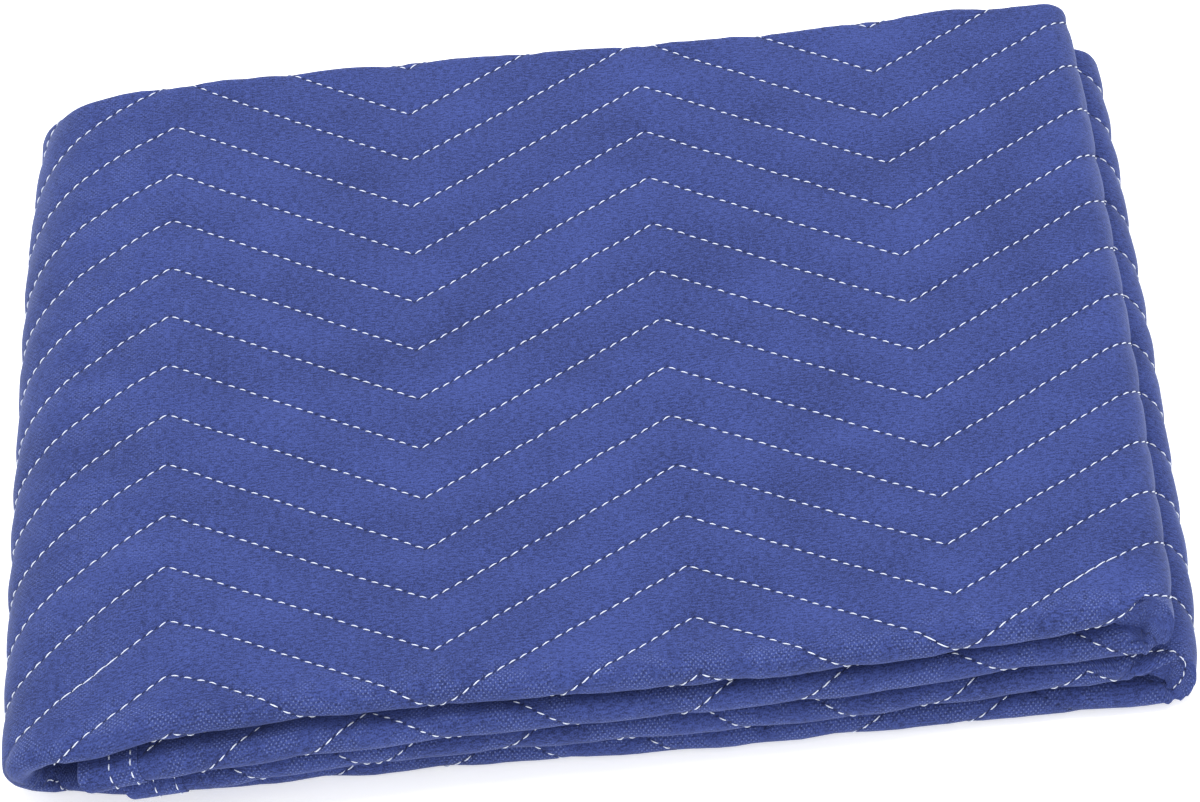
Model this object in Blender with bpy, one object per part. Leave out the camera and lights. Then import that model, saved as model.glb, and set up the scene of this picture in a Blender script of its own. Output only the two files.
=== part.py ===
"""A quilted moving blanket, 1.83 m by 1.0 m, folded up for storage.

The cloth is one sheet.  Its width is folded in thirds, so that a long strip of three layers has one round
fold along the front and one small fold along the back.  Both ends of the strip are then folded to its
middle, and the whole is closed like a book.  That gives four strips on each other, A on top and D below:

    B's bound end (left) -> B -> right turn -> A -> left wrap -> D -> right turn -> C -> C's bound end (left)

A point of the cloth is named by two lengths: along, measured on the path above, and across, measured over
the three panels.  The section turns across into a place y and a depth under the strip's outer face, and
the path turns along and that depth into x and z.  +X runs to the right, +Y to the back and +Z up, in
metres, with the origin at the middle of the underside.
"""

import math

import bmesh
import bpy
import numpy as np

# Cloth and stack, in metres.
CLOTH_HALF = 0.0015  # half of the cloth's thickness
EDGE_HALF = 0.0009  # half of its thickness where the binding presses it
LAYER_PITCH = 0.0047  # from one layer of a strip to the next
STRIP_GAP = 0.0017  # air between two strips
STRIP_THICKNESS = 2 * (CLOTH_HALF + LAYER_PITCH)
STACK_HEIGHT = 4 * STRIP_THICKNESS + 3 * STRIP_GAP
TURN_RADIUS = STRIP_THICKNESS + STRIP_GAP / 2  # outer face of the right-hand turns
WRAP_RADIUS = STACK_HEIGHT / 2  # outer face of the left-hand wrap
SWELL = 0.06  # how much taller the stack is at its right end,
SWELL_BACK = 0.20  # and how much more for each metre to the back
FALL = 0.170  # how much lower it lies at its left end, where only the wrap holds it up,
FALL_BACK = -0.17  # and how much more for each metre to the back
FALL_START = -0.162  # x where it starts to fall
FALL_REACH = 0.0735  # over which it falls, evenly

# The zigzag quilting, in metres.
QUILT_SPACING = 0.0254
ZIGZAG_PERIOD = 0.2032
ZIGZAG_HEIGHT = 0.055
PEAK_ALONG = 0.825  # along, at a peak on strip A
PEAK_ACROSS = 0.356  # across, at the peak of the first line on the outer panel
STITCH_SINK = 0.0007  # a quilting line, under the cloth's outer face
PUFF_RISE = 0.0004  # the cloth midway between two lines, over it

# The binding, a doubled-over strip round every raw edge.
BINDING_WIDTH = 0.023
BINDING_THICKNESS = 0.0006
SEAT_GAP = 0.0003  # the air that two touching pieces keep
EDGE_TAPER = 0.004  # over which the cloth thins before the binding
PRESSED_EDGE = BINDING_WIDTH + 0.001

# Where each strip's folds lie: x, then the y of the front fold's centre and of the back fold's centre.
FOLDS = {
    "B": (
        (-0.206, -0.1680, 0.166),
        (-0.174, -0.1670, 0.167),
        (-0.120, -0.1632, 0.169),
        (-0.050, -0.1608, 0.170),
        (0.036, -0.1602, 0.168),
        (0.098, -0.1592, 0.169),
        (0.169, -0.1537, 0.170),
        (0.212, -0.1522, 0.166),
    ),
    "A": (
        (0.210, -0.1470, 0.1615),
        (0.169, -0.1509, 0.1645),
        (0.103, -0.1556, 0.1615),
        (0.037, -0.1570, 0.1632),
        (-0.048, -0.1552, 0.1665),
        (-0.118, -0.1548, 0.1675),
        (-0.164, -0.1583, 0.1670),
        (-0.191, -0.1610, 0.1665),
        (-0.210, -0.1600, 0.1635),
    ),
    "D": (
        (-0.210, -0.1490, 0.168),
        (-0.192, -0.1550, 0.170),
        (-0.123, -0.1552, 0.171),
        (-0.052, -0.1556, 0.173),
        (0.035, -0.1582, 0.174),
        (0.098, -0.1575, 0.174),
        (0.169, -0.1571, 0.173),
        (0.222, -0.1574, 0.163),
    ),
    "C": (
        (0.222, -0.1545, 0.162),
        (0.169, -0.1555, 0.172),
        (0.098, -0.1596, 0.173),
        (0.035, -0.1601, 0.173),
        (-0.051, -0.1591, 0.172),
        (-0.121, -0.1608, 0.170),
        (-0.155, -0.1646, 0.169),
        (-0.192, -0.1655, 0.168),
    ),
}

# How far the three bends reach, from the front to the back: y, then the x of the bend's outer face.
UPPER_TURN_REACH = ((-0.165, 0.2215), (-0.120, 0.2235), (0.000, 0.2250), (0.120, 0.2240), (0.165, 0.2220))
LOWER_TURN_REACH = ((-0.165, 0.2300), (-0.120, 0.2350), (0.000, 0.2370), (0.120, 0.2368), (0.170, 0.2355))
LEFT_WRAP_REACH = ((-0.165, -0.2385), (-0.076, -0.2374), (0.026, -0.2353), (0.108, -0.2326), (0.170, -0.2265))
# Where the two bound ends lie: y, then x.
UPPER_END_REACH = ((-0.165, -0.2060), (0.000, -0.2000), (0.165, -0.2010))
LOWER_END_REACH = ((-0.165, -0.1900), (0.000, -0.1940), (0.165, -0.1900))

ORIGIN = (-0.0004, 0.0017)  # the middle of the whole underside, in the x and y of the tables above
FLAP_SETBACK = 0.002  # the first flap's edge, behind the front fold's centre

# A binding's end, as corners of its profile: the two legs, the wall between them and two bevels.
BINDING_CAP = ((0, 1, 8, 9), (1, 2, 8), (2, 3, 7, 8), (3, 4, 7), (4, 5, 6, 7))

# How finely the cloth is divided.
LONGEST_STEP = 0.105
TURN_STEPS = 6
WRAP_STEPS = 9
NOSE_STEPS = 6
BACK_FOLD_STEPS = 4
FLAP_STEPS = 4
PANEL_STEPS = 4


def table_value(rows, place, column=1):
    """Read a column of a table at a place, on a straight line between rows and level outside them."""
    ordered = sorted(rows)
    return np.interp(place, [row[0] for row in ordered], [row[column] for row in ordered])


def path_stretches():
    """The seven stretches of the path, each with its strip or bend, and its length on the outer layer."""
    middle = 0.0
    upper = table_value(UPPER_TURN_REACH, middle) - TURN_RADIUS
    lower = table_value(LOWER_TURN_REACH, middle) - TURN_RADIUS
    left = table_value(LEFT_WRAP_REACH, middle) + WRAP_RADIUS
    turn = math.pi * (TURN_RADIUS - CLOTH_HALF)
    wrap = math.pi * (WRAP_RADIUS - CLOTH_HALF)
    return (
        ("B", upper - table_value(UPPER_END_REACH, middle)),
        ("upper turn", turn),
        ("A", upper - left),
        ("left wrap", wrap),
        ("D", lower - left),
        ("lower turn", turn),
        ("C", lower - table_value(LOWER_END_REACH, middle)),
    )


STRETCHES = path_stretches()
STARTS = dict(zip([name for name, _ in STRETCHES], np.cumsum([0.0] + [length for _, length in STRETCHES])))
LENGTHS = dict(STRETCHES)
CLOTH_LENGTH = sum(LENGTHS.values())

# The section across the cloth: first flap, back fold, outer panel, front fold (the nose), last flap.
PANEL_DEPTH = 0.324
FLAP_WIDTH = PANEL_DEPTH - FLAP_SETBACK
BACK_FOLD_LENGTH = math.pi * LAYER_PITCH / 2
NOSE_LENGTH = math.pi * LAYER_PITCH
PANEL_START = FLAP_WIDTH + BACK_FOLD_LENGTH
NOSE_START = PANEL_START + PANEL_DEPTH
LAST_FLAP_START = NOSE_START + NOSE_LENGTH
CLOTH_WIDTH = LAST_FLAP_START + FLAP_WIDTH


def fold_lines(along):
    """The y of the front fold's and the back fold's centre, at each place on the path."""
    places, fronts, backs = [], [], []
    for strip, rows in FOLDS.items():
        xs = [row[0] for row in rows]
        reach = LENGTHS[strip]
        for x, front, back in rows:
            places.append(STARTS[strip] + reach * abs(x - xs[0]) / abs(xs[-1] - xs[0]))
            fronts.append(front)
            backs.append(back)
    order = np.argsort(places)
    places = np.array(places)[order]
    return np.interp(along, places, np.array(fronts)[order]), np.interp(along, places, np.array(backs)[order])


def section_point(along, across, lift):
    """(y, depth) of points that lie lift outside the cloth's middle surface.

    A flap or panel is a straight line between the folds.  A fold is a half circle whose angle grows with
    across.  Depth is measured from the strip's outer face, and the outer side of the cloth is the one that
    faces away from the strip on the outer panel.
    """
    front, back = fold_lines(along)
    level = CLOTH_HALF
    part = (across - PANEL_START) / PANEL_DEPTH
    y = back + (front - back) * part
    depth = level - lift

    in_flap = across < FLAP_WIDTH
    flap_y = back - (back - front - FLAP_SETBACK) * (FLAP_WIDTH - across) / FLAP_WIDTH
    y = np.where(in_flap, flap_y, y)
    depth = np.where(in_flap, level + LAYER_PITCH + lift, depth)

    in_back_fold = (across >= FLAP_WIDTH) & (across < PANEL_START)
    angle = math.pi * (across - FLAP_WIDTH) / BACK_FOLD_LENGTH
    radius = LAYER_PITCH / 2 + lift
    y = np.where(in_back_fold, back + radius * np.sin(angle), y)
    depth = np.where(in_back_fold, level + LAYER_PITCH / 2 + radius * np.cos(angle), depth)

    in_nose = (across >= NOSE_START) & (across < LAST_FLAP_START)
    angle = math.pi * (across - NOSE_START) / NOSE_LENGTH
    radius = LAYER_PITCH + lift
    y = np.where(in_nose, front - radius * np.sin(angle), y)
    depth = np.where(in_nose, level + LAYER_PITCH - radius * np.cos(angle), depth)

    in_last = across >= LAST_FLAP_START
    last_y = front + (back - front - FLAP_SETBACK) * (across - LAST_FLAP_START) / FLAP_WIDTH
    y = np.where(in_last, last_y, y)
    depth = np.where(in_last, level + 2 * LAYER_PITCH + lift, depth)
    return y, depth


def height_scale(x, y):
    """The stack's height over its plain one: a parabola up to the right, and a straight slope down to the left."""
    right = np.clip(0.5 + x / 0.47, 0, 1) ** 2
    left = np.clip((FALL_START - x) / FALL_REACH, 0, 1)
    return 1 + (SWELL + SWELL_BACK * y) * right - (FALL + FALL_BACK * y) * left


def path_point(along, y, depth):
    """(x, z) of points at a depth under the strip's outer face.

    On a strip, x runs evenly between its two ends and z is level.  On a bend, the point turns round the
    bend's centre at the bend's radius less the depth.
    """
    upper = table_value(UPPER_TURN_REACH, y) - TURN_RADIUS
    lower = table_value(LOWER_TURN_REACH, y) - TURN_RADIUS
    left = table_value(LEFT_WRAP_REACH, y) + WRAP_RADIUS
    ends = {
        "B": (table_value(UPPER_END_REACH, y), upper, STACK_HEIGHT / 2 + STRIP_GAP / 2 + depth),
        "A": (upper, left, STACK_HEIGHT - depth),
        "D": (left, lower, depth),
        "C": (lower, table_value(LOWER_END_REACH, y), STACK_HEIGHT / 2 - STRIP_GAP / 2 - depth),
    }
    bends = {
        "upper turn": (upper, STACK_HEIGHT - TURN_RADIUS, TURN_RADIUS, -90, 1),
        "left wrap": (left, WRAP_RADIUS, WRAP_RADIUS, 90, 1),
        "lower turn": (lower, TURN_RADIUS, TURN_RADIUS, -90, 1),
    }
    x = np.zeros_like(along)
    z = np.zeros_like(along)
    for name, length in STRETCHES:
        share = (along - STARTS[name]) / length
        first, last = name == STRETCHES[0][0], name == STRETCHES[-1][0]
        here = ((share >= 0) | first) & ((share < 1) | last)
        if name in ends:
            start, stop, height = ends[name]
            x = np.where(here, start + (stop - start) * share, x)
            z = np.where(here, height, z)
        else:
            centre, middle, outer, first_angle, way = bends[name]
            angle = math.radians(first_angle) + way * math.pi * share
            x = np.where(here, centre + (outer - depth) * np.cos(angle), x)
            z = np.where(here, middle + (outer - depth) * np.sin(angle), z)
    return x, z * height_scale(x, y)


def folded(along, across, lift):
    """World points of the folded cloth, as an array of x, y, z."""
    along, across, lift = np.broadcast_arrays(np.float64(along), np.float64(across), np.float64(lift))
    y, depth = section_point(along, across, lift)
    x, z = path_point(along, y, depth)
    return np.stack([x - ORIGIN[0], y - ORIGIN[1], z], axis=-1)


def zigzag(along):
    """How far a quilting line has moved to the front: 0 at a peak, ZIGZAG_HEIGHT half a period on."""
    phase = np.abs((along - PEAK_ALONG) / ZIGZAG_PERIOD)
    return ZIGZAG_HEIGHT * 2 * np.abs(phase - np.round(phase))


def face_lift(along, across):
    """Outer face above the middle surface: lowest on a quilting line, highest midway between two lines."""
    line = (across - zigzag(along) - PEAK_ACROSS) / QUILT_SPACING
    puff = 2 * np.abs(line - np.round(line))
    return CLOTH_HALF - STITCH_SINK + (STITCH_SINK + PUFF_RISE) * puff


def thickness_half(along, across):
    """Half of the cloth's thickness, which falls towards the pressed edges under the binding."""
    edge = np.minimum(
        np.minimum(along, CLOTH_LENGTH - along),
        np.minimum(across, CLOTH_WIDTH - across),
    )
    share = np.clip((edge - PRESSED_EDGE) / EDGE_TAPER, 0, 1)
    return EDGE_HALF + (CLOTH_HALF - EDGE_HALF) * share


def even(start, stop, steps):
    """The places that divide a stretch into equal steps, without its last one."""
    return list(np.linspace(start, stop, steps + 1)[:-1])


def along_stations():
    """Columns of the cloth: a few on each strip, more on each bend, and one at each zigzag vertex."""
    steps = {"upper turn": TURN_STEPS, "lower turn": TURN_STEPS, "left wrap": WRAP_STEPS}
    places = [0.0, PRESSED_EDGE, PRESSED_EDGE + EDGE_TAPER]
    places += [CLOTH_LENGTH - place for place in places]
    bends = []
    for name, length in STRETCHES:
        if name in steps:
            bends += even(STARTS[name], STARTS[name] + length, steps[name]) + [STARTS[name] + length]
    upper = table_value(UPPER_TURN_REACH, 0) - TURN_RADIUS - FALL_START
    lower = table_value(LOWER_TURN_REACH, 0) - TURN_RADIUS - FALL_START
    places += [STARTS["upper turn"] - upper, STARTS["A"] + upper, STARTS["lower turn"] - lower, STARTS["C"] + lower]
    half = ZIGZAG_PERIOD / 2
    first = PEAK_ALONG - half * math.floor(PEAK_ALONG / half)
    places += [first + half * step for step in range(int(CLOTH_LENGTH / half) + 1)]
    clear = 0.0025
    kept = list(bends)
    for place in sorted(places):
        if place <= CLOTH_LENGTH and min(abs(place - other) for other in kept) > clear:
            kept.append(place)
    kept.sort()
    filled = []
    for start, stop in zip(kept, kept[1:]):
        filled += even(start, stop, math.ceil((stop - start) / LONGEST_STEP))
    return filled + [kept[-1]]


def across_stations():
    """Rows of the cloth: a few on each flap and on the outer panel, and more on each fold."""
    pressed = [0.0, PRESSED_EDGE, PRESSED_EDGE + EDGE_TAPER]
    rows = pressed[:2] + even(pressed[2], FLAP_WIDTH, FLAP_STEPS)
    rows += even(FLAP_WIDTH, PANEL_START, BACK_FOLD_STEPS)
    rows += even(PANEL_START, NOSE_START, PANEL_STEPS)
    rows += even(NOSE_START, LAST_FLAP_START, NOSE_STEPS)
    rows += even(LAST_FLAP_START, CLOTH_WIDTH - pressed[2], FLAP_STEPS)
    rows += [CLOTH_WIDTH - place for place in reversed(pressed)]
    return rows


def flat_grid(mesh, columns, rows):
    """A flat sheet of quads in the plane of along and across, and its vertices as a list of columns."""
    grid = [[mesh.verts.new((column, row, 0)) for row in rows] for column in columns]
    for left, right in zip(grid, grid[1:]):
        for low in range(len(rows) - 1):
            mesh.faces.new((left[low], right[low], right[low + 1], left[low + 1]))
    return grid


def cut_quilting(mesh):
    """Cut the outer panel and its front fold along every quilting line and midway between two lines.

    A zigzag line is straight between two of its vertices, so each such band of the sheet is cut by one
    plane for each line.
    """
    half = ZIGZAG_PERIOD / 2
    first = PEAK_ALONG - half * math.ceil(PEAK_ALONG / half)
    low, high = PANEL_START, LAST_FLAP_START
    clear = PRESSED_EDGE + EDGE_TAPER
    for band in range(int(CLOTH_LENGTH / half) + 2):
        start, stop = first + band * half, first + (band + 1) * half
        faces = []
        for face in mesh.faces:
            middle = face.calc_center_median()
            if max(start, clear) < middle.x < min(stop, CLOTH_LENGTH - clear) and low < middle.y < high:
                faces.append(face)
        if not faces:
            continue
        edges = {edge for face in faces for edge in face.edges}
        verts = {vert for face in faces for vert in face.verts}
        geometry = faces + list(edges) + list(verts)
        drop = float(zigzag(np.float64(start))), float(zigzag(np.float64(stop)))
        slope = (drop[1] - drop[0]) / half
        step = QUILT_SPACING / 2
        for line in range(-4, int(PANEL_DEPTH / step) + 6):
            height = PEAK_ACROSS + line * step + drop[0]
            if height + min(0, slope * half) > high or height + max(0, slope * half) < low:
                continue
            cut = bmesh.ops.bisect_plane(
                mesh,
                geom=geometry,
                dist=0.0001,
                plane_co=(start, height, 0),
                plane_no=(-slope, 1, 0),
            )
            geometry = cut["geom"]


def place_vertices(mesh, side):
    """Move the flat sheet's vertices to the folded cloth's outer face (side 1) or inner face (side -1).

    The stack's weight presses its underside flat, so no vertex is lower than 0.
    """
    flat = np.array([vert.co for vert in mesh.verts])
    along, across = flat[:, 0], flat[:, 1]
    half = thickness_half(along, across)
    if side > 0:
        quilted = (across > PANEL_START) & (across < LAST_FLAP_START) & (half > CLOTH_HALF - 1e-6)
        under = (along > STARTS["D"] - 1e-6) & (along < STARTS["lower turn"] + 1e-6)
        pressed_flat = under & (across < NOSE_START + 1e-6)
        half = np.where(quilted & ~pressed_flat, face_lift(along, across), half)
    points = folded(along, across, side * half)
    points[:, 2] = np.maximum(points[:, 2], 0)
    for vert, point in zip(mesh.verts, points):
        vert.co = point


def copy_into(target, source):
    """Copy a mesh's faces into another, and return the new vertex of each old one."""
    made = {vert: target.verts.new(vert.co) for vert in source.verts}
    for face in source.faces:
        target.faces.new([made[vert] for vert in face.verts])
    return made


def border(grid):
    """The vertices round a grid, in order."""
    low = [column[0] for column in grid]
    high = [column[-1] for column in grid]
    return low + grid[-1][1:-1] + high[::-1] + grid[0][-2:0:-1]


def make_object(name, mesh, colour, roughness, collection):
    """Turn a bmesh into an object with its own Principled material."""
    bmesh.ops.recalc_face_normals(mesh, faces=mesh.faces[:])
    data = bpy.data.meshes.new(name)
    mesh.to_mesh(data)
    mesh.free()
    data.shade_smooth()
    data.set_sharp_from_angle(angle=math.radians(40))
    material = bpy.data.materials.new(name)
    material.use_nodes = True
    shader = material.node_tree.nodes["Principled BSDF"]
    shader.inputs["Base Color"].default_value = (*colour, 1)
    shader.inputs["Roughness"].default_value = roughness
    shader.inputs["Metallic"].default_value = 0
    data.materials.append(material)
    made = bpy.data.objects.new(name, data)
    collection.objects.link(made)
    return made


def make_cloth(collection, columns, rows):
    """The folded cloth: a cut outer face, a plain inner face, and a rim between their borders."""
    outer, inner, whole = bmesh.new(), bmesh.new(), bmesh.new()
    outer_grid = flat_grid(outer, columns, rows)
    inner_grid = flat_grid(inner, columns, rows)
    cut_quilting(outer)
    place_vertices(outer, 1)
    place_vertices(inner, -1)
    outer_made, inner_made = copy_into(whole, outer), copy_into(whole, inner)
    outside = [outer_made[vert] for vert in border(outer_grid)]
    inside = [inner_made[vert] for vert in border(inner_grid)]
    for step in range(len(outside)):
        after = (step + 1) % len(outside)
        whole.faces.new((outside[step], outside[after], inside[after], inside[step]))
    outer.free()
    inner.free()
    bmesh.ops.triangulate(whole, faces=whole.faces[:])
    return make_object("blanket", whole, (0.075, 0.115, 0.30), 0.85, collection)


def binding_profile():
    """Section of the binding round a raw edge: (distance in from the edge, lift over the middle surface)."""
    inside = EDGE_HALF + SEAT_GAP
    outside = inside + BINDING_THICKNESS
    wall = -SEAT_GAP - BINDING_THICKNESS
    bevel = 0.0006
    half = [(BINDING_WIDTH, outside), (wall + bevel, outside), (wall, outside - bevel)]
    inner_half = [(-SEAT_GAP, inside), (BINDING_WIDTH, inside)]
    outer_turn = half + [(reach, -lift) for reach, lift in reversed(half)]
    inner_turn = [(reach, -lift) for reach, lift in reversed(inner_half)] + inner_half
    return outer_turn + inner_turn


def make_binding(name, collection, stations, place):
    """Carry the binding's section past the stations, and close its two ends."""
    profile = binding_profile()
    mesh = bmesh.new()
    rings = []
    for station in stations:
        points = [place(station, reach, lift) for reach, lift in profile]
        rings.append([mesh.verts.new(point) for point in points])
    for ring, after in zip(rings, rings[1:]):
        for corner in range(len(profile)):
            following = (corner + 1) % len(profile)
            mesh.faces.new((ring[corner], ring[following], after[following], after[corner]))
    for ring in (rings[0], rings[-1]):
        for corners in BINDING_CAP:
            mesh.faces.new([ring[corner] for corner in corners])
    bmesh.ops.triangulate(mesh, faces=mesh.faces[:])
    return make_object(name, mesh, (0.095, 0.135, 0.33), 0.8, collection)


def make_bindings(collection, columns, rows):
    """Four bindings: one round each end of the cloth, and one along each side between them."""
    overhang = SEAT_GAP + BINDING_THICKNESS
    end_rows = [-overhang] + rows[1:-1] + [CLOTH_WIDTH + overhang]
    side_start = BINDING_WIDTH + SEAT_GAP
    side_columns = [column for column in columns if side_start < column < CLOTH_LENGTH - side_start]
    side_columns = [side_start] + side_columns + [CLOTH_LENGTH - side_start]
    placements = {
        "binding_upper_end": (end_rows, lambda row, reach, lift: folded(reach, row, lift)),
        "binding_lower_end": (end_rows, lambda row, reach, lift: folded(CLOTH_LENGTH - reach, row, lift)),
        "binding_front_side": (side_columns, lambda column, reach, lift: folded(column, reach, lift)),
        "binding_back_side": (
            side_columns,
            lambda column, reach, lift: folded(column, CLOTH_WIDTH - reach, lift),
        ),
    }
    for name, (stations, place) in placements.items():
        make_binding(name, collection, stations, place)


def main():
    for old in list(bpy.data.objects):
        bpy.data.objects.remove(old, do_unlink=True)
    collection = bpy.data.collections.new("moving_blanket")
    bpy.context.scene.collection.children.link(collection)
    columns, rows = along_stations(), across_stations()
    make_cloth(collection, columns, rows)
    make_bindings(collection, columns, rows)


main()
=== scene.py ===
# %% [markdown]
# # A quilted moving blanket, folded for storage
# The real object is one sheet of padded cloth, 1.8 m by 1.0 m.  Its width is folded in thirds, both ends of
# that long strip are folded to its middle, and the whole is closed like a book.  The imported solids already
# hold the fold at its real size.  This lesson dresses them: a fine cloth surface, bound edges, thread and
# a cloth finish.  Everything is in metres, +X to the right, +Y to the back and +Z up.

# %% Load the frame
import math
from functools import partial

import bpy
import numpy as np
from mathutils import Matrix, Vector


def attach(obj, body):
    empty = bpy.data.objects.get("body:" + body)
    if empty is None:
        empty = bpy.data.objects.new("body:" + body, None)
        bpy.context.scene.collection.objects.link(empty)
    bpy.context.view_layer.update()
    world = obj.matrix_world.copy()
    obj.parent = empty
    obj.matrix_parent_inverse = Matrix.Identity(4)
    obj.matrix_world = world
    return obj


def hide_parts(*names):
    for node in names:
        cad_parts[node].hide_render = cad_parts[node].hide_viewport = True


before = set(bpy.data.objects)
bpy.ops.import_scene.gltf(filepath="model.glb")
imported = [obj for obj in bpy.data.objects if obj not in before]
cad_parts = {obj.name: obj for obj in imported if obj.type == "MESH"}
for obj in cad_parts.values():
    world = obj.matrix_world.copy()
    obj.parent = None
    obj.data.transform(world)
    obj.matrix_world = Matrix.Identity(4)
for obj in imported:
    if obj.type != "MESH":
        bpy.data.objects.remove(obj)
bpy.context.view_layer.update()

# %% [markdown]
# ## Sizes
# A stack of twelve layers is set by the cloth's thickness and the air between layers.  The height comes
# from counting them, and the radius of each bend from the layers it goes round, so a change to one size
# carries through the whole fold.

# %% Cloth, stack and quilting
MM = 0.001
CLOTH_HALF = 1.5 * MM  # half of the cloth's thickness
EDGE_HALF = 0.9 * MM  # the same where the binding presses it
LAYER_PITCH = 4.7 * MM
STRIP_GAP = 1.7 * MM
STRIP_THICKNESS = 2 * (CLOTH_HALF + LAYER_PITCH)
STACK_HEIGHT = 4 * STRIP_THICKNESS + 3 * STRIP_GAP
TURN_RADIUS = STRIP_THICKNESS + STRIP_GAP / 2
WRAP_RADIUS = STACK_HEIGHT / 2
SWELL = 0.06  # how much taller the stack is at its right end,
SWELL_BACK = 0.20  # and how much more for each metre to the back
FALL = 0.203  # how much lower it lies at its left end, where only the wrap holds it up,
FALL_BACK = -0.20  # and how much more for each metre to the back
FALL_START = (-0.173, -0.045)  # x where it starts to fall, at y = 0 and for each metre to the back
FALL_REACH = 0.065
STACK_WIDTH = 0.47
ORIGIN = (-0.4 * MM, 1.7 * MM)  # the frame's origin, in the x and y of the tables below

QUILT_SPACING = 25.35 * MM  # one inch, drawn up a little by the thread
ZIGZAG_PERIOD = 201.6 * MM  # eight inches, drawn up too
ZIGZAG_HEIGHT = 55.0 * MM
PEAK_ALONG = 826.5 * MM
PEAK_ACROSS = 356.3 * MM
ZIGZAG_TURN = math.atan(2 * ZIGZAG_HEIGHT / ZIGZAG_PERIOD)  # the lines' slope

BINDING_WIDTH = 23.0 * MM
BINDING_THICKNESS = 0.6 * MM
SEAT_GAP = 0.3 * MM
PRESSED_EDGE = BINDING_WIDTH + 1.0 * MM
EDGE_TAPER = 4.0 * MM
print(f"stack {STACK_HEIGHT / MM:.1f} mm high, zigzag slope {math.degrees(ZIGZAG_TURN):.1f} degrees")

# %% [markdown]
# ## Where the folds lie
# Nobody folds a blanket square.  Each strip has a short table of places where its front and back folds
# lie, one row for each bend in its edge, and the three end bends have their own.  The tables are read as
# straight lines and then softened with a bell-shaped average, as cloth has no corners in its plan.

# %% Tables of the fold: x, front fold's y, back fold's y
FOLDS = {
    "B": (
        (-0.206, -0.1680, 0.166),
        (-0.174, -0.1670, 0.167),
        (-0.120, -0.1632, 0.169),
        (-0.050, -0.1608, 0.170),
        (0.036, -0.1602, 0.168),
        (0.098, -0.1592, 0.169),
        (0.169, -0.1537, 0.170),
        (0.212, -0.1522, 0.166),
    ),
    "A": (
        (0.210, -0.1470, 0.1615),
        (0.169, -0.1509, 0.1645),
        (0.103, -0.1556, 0.1615),
        (0.037, -0.1570, 0.1632),
        (-0.048, -0.1552, 0.1665),
        (-0.118, -0.1548, 0.1675),
        (-0.164, -0.1583, 0.1670),
        (-0.191, -0.1610, 0.1665),
        (-0.210, -0.1600, 0.1635),
    ),
    "D": (
        (-0.210, -0.1490, 0.168),
        (-0.192, -0.1550, 0.170),
        (-0.123, -0.1552, 0.171),
        (-0.052, -0.1556, 0.173),
        (0.035, -0.1582, 0.174),
        (0.098, -0.1575, 0.174),
        (0.169, -0.1571, 0.173),
        (0.222, -0.1574, 0.163),
    ),
    "C": (
        (0.222, -0.1545, 0.162),
        (0.169, -0.1555, 0.172),
        (0.098, -0.1596, 0.173),
        (0.035, -0.1601, 0.173),
        (-0.051, -0.1591, 0.172),
        (-0.121, -0.1608, 0.170),
        (-0.155, -0.1646, 0.169),
        (-0.192, -0.1655, 0.168),
    ),
}
# Where the bends' outer faces and the two bound ends lie: rows of y and x.
REACHES = {
    "upper turn": (
        (-0.165, 0.2215),
        (-0.120, 0.2235),
        (0.000, 0.2250),
        (0.120, 0.2240),
        (0.165, 0.2220),
    ),
    "lower turn": (
        (-0.165, 0.2300),
        (-0.120, 0.2350),
        (0.000, 0.2370),
        (0.120, 0.2368),
        (0.170, 0.2355),
    ),
    "left wrap": (
        (-0.165, -0.2385),
        (-0.076, -0.2374),
        (0.026, -0.2353),
        (0.108, -0.2326),
        (0.170, -0.2265),
    ),
    "upper end": ((-0.165, -0.2060), (0.000, -0.2000), (0.165, -0.2010)),
    "lower end": ((-0.165, -0.1900), (0.000, -0.1940), (0.165, -0.1900)),
}
FLAP_SETBACK = 2.0 * MM


def reader(places, values, spread):
    """A function that reads a table: straight lines between rows, averaged with a bell of this spread.

    The bell is cut off at three spreads, and the last row's value goes on past the table's end.
    """
    order = np.argsort(places)
    places, values = np.array(places, float)[order], np.array(values, float)[order]
    step = 1.0 * MM
    dense = np.arange(places[0] - 4 * spread, places[-1] + 4 * spread + step, step)
    straight = np.interp(dense, places, values)
    reach = np.arange(-3 * spread, 3 * spread + step, step)
    weight = np.exp(-0.5 * (reach / spread) ** 2)
    padded = np.pad(straight, len(reach) // 2, mode="edge")
    soft = np.convolve(padded, weight / weight.sum(), mode="valid")[: len(dense)]
    return lambda place: np.interp(place, dense, soft)


REACH_SPREAD = 14 * MM
reach_x = {name: reader(*zip(*rows), REACH_SPREAD) for name, rows in REACHES.items()}
MIDDLE_X = {name: float(np.interp(0, *zip(*rows))) for name, rows in REACHES.items()}
print("softened tables:", len(FOLDS), "strips and", len(REACHES), "ends")

# %% [markdown]
# ## The path along the cloth
# Followed from one bound end to the other, the cloth runs right along strip B, turns up into A, runs left,
# wraps down round everything into D, runs right, turns up into C and runs left again.  Seven stretches in
# a row make the path, so one length, called along, names any place on it.

# %% The seven stretches and the section's landmarks
UPPER_X = MIDDLE_X["upper turn"] - TURN_RADIUS
LOWER_X = MIDDLE_X["lower turn"] - TURN_RADIUS
LEFT_X = MIDDLE_X["left wrap"] + WRAP_RADIUS
TURN_LENGTH = math.pi * (TURN_RADIUS - CLOTH_HALF)
LENGTHS = {
    "B": UPPER_X - MIDDLE_X["upper end"],
    "upper turn": TURN_LENGTH,
    "A": UPPER_X - LEFT_X,
    "left wrap": math.pi * (WRAP_RADIUS - CLOTH_HALF),
    "D": LOWER_X - LEFT_X,
    "lower turn": TURN_LENGTH,
    "C": LOWER_X - MIDDLE_X["lower end"],
}
STARTS = dict(zip(LENGTHS, np.cumsum([0.0] + list(LENGTHS.values()))))
CLOTH_LENGTH = sum(LENGTHS.values())

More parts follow.
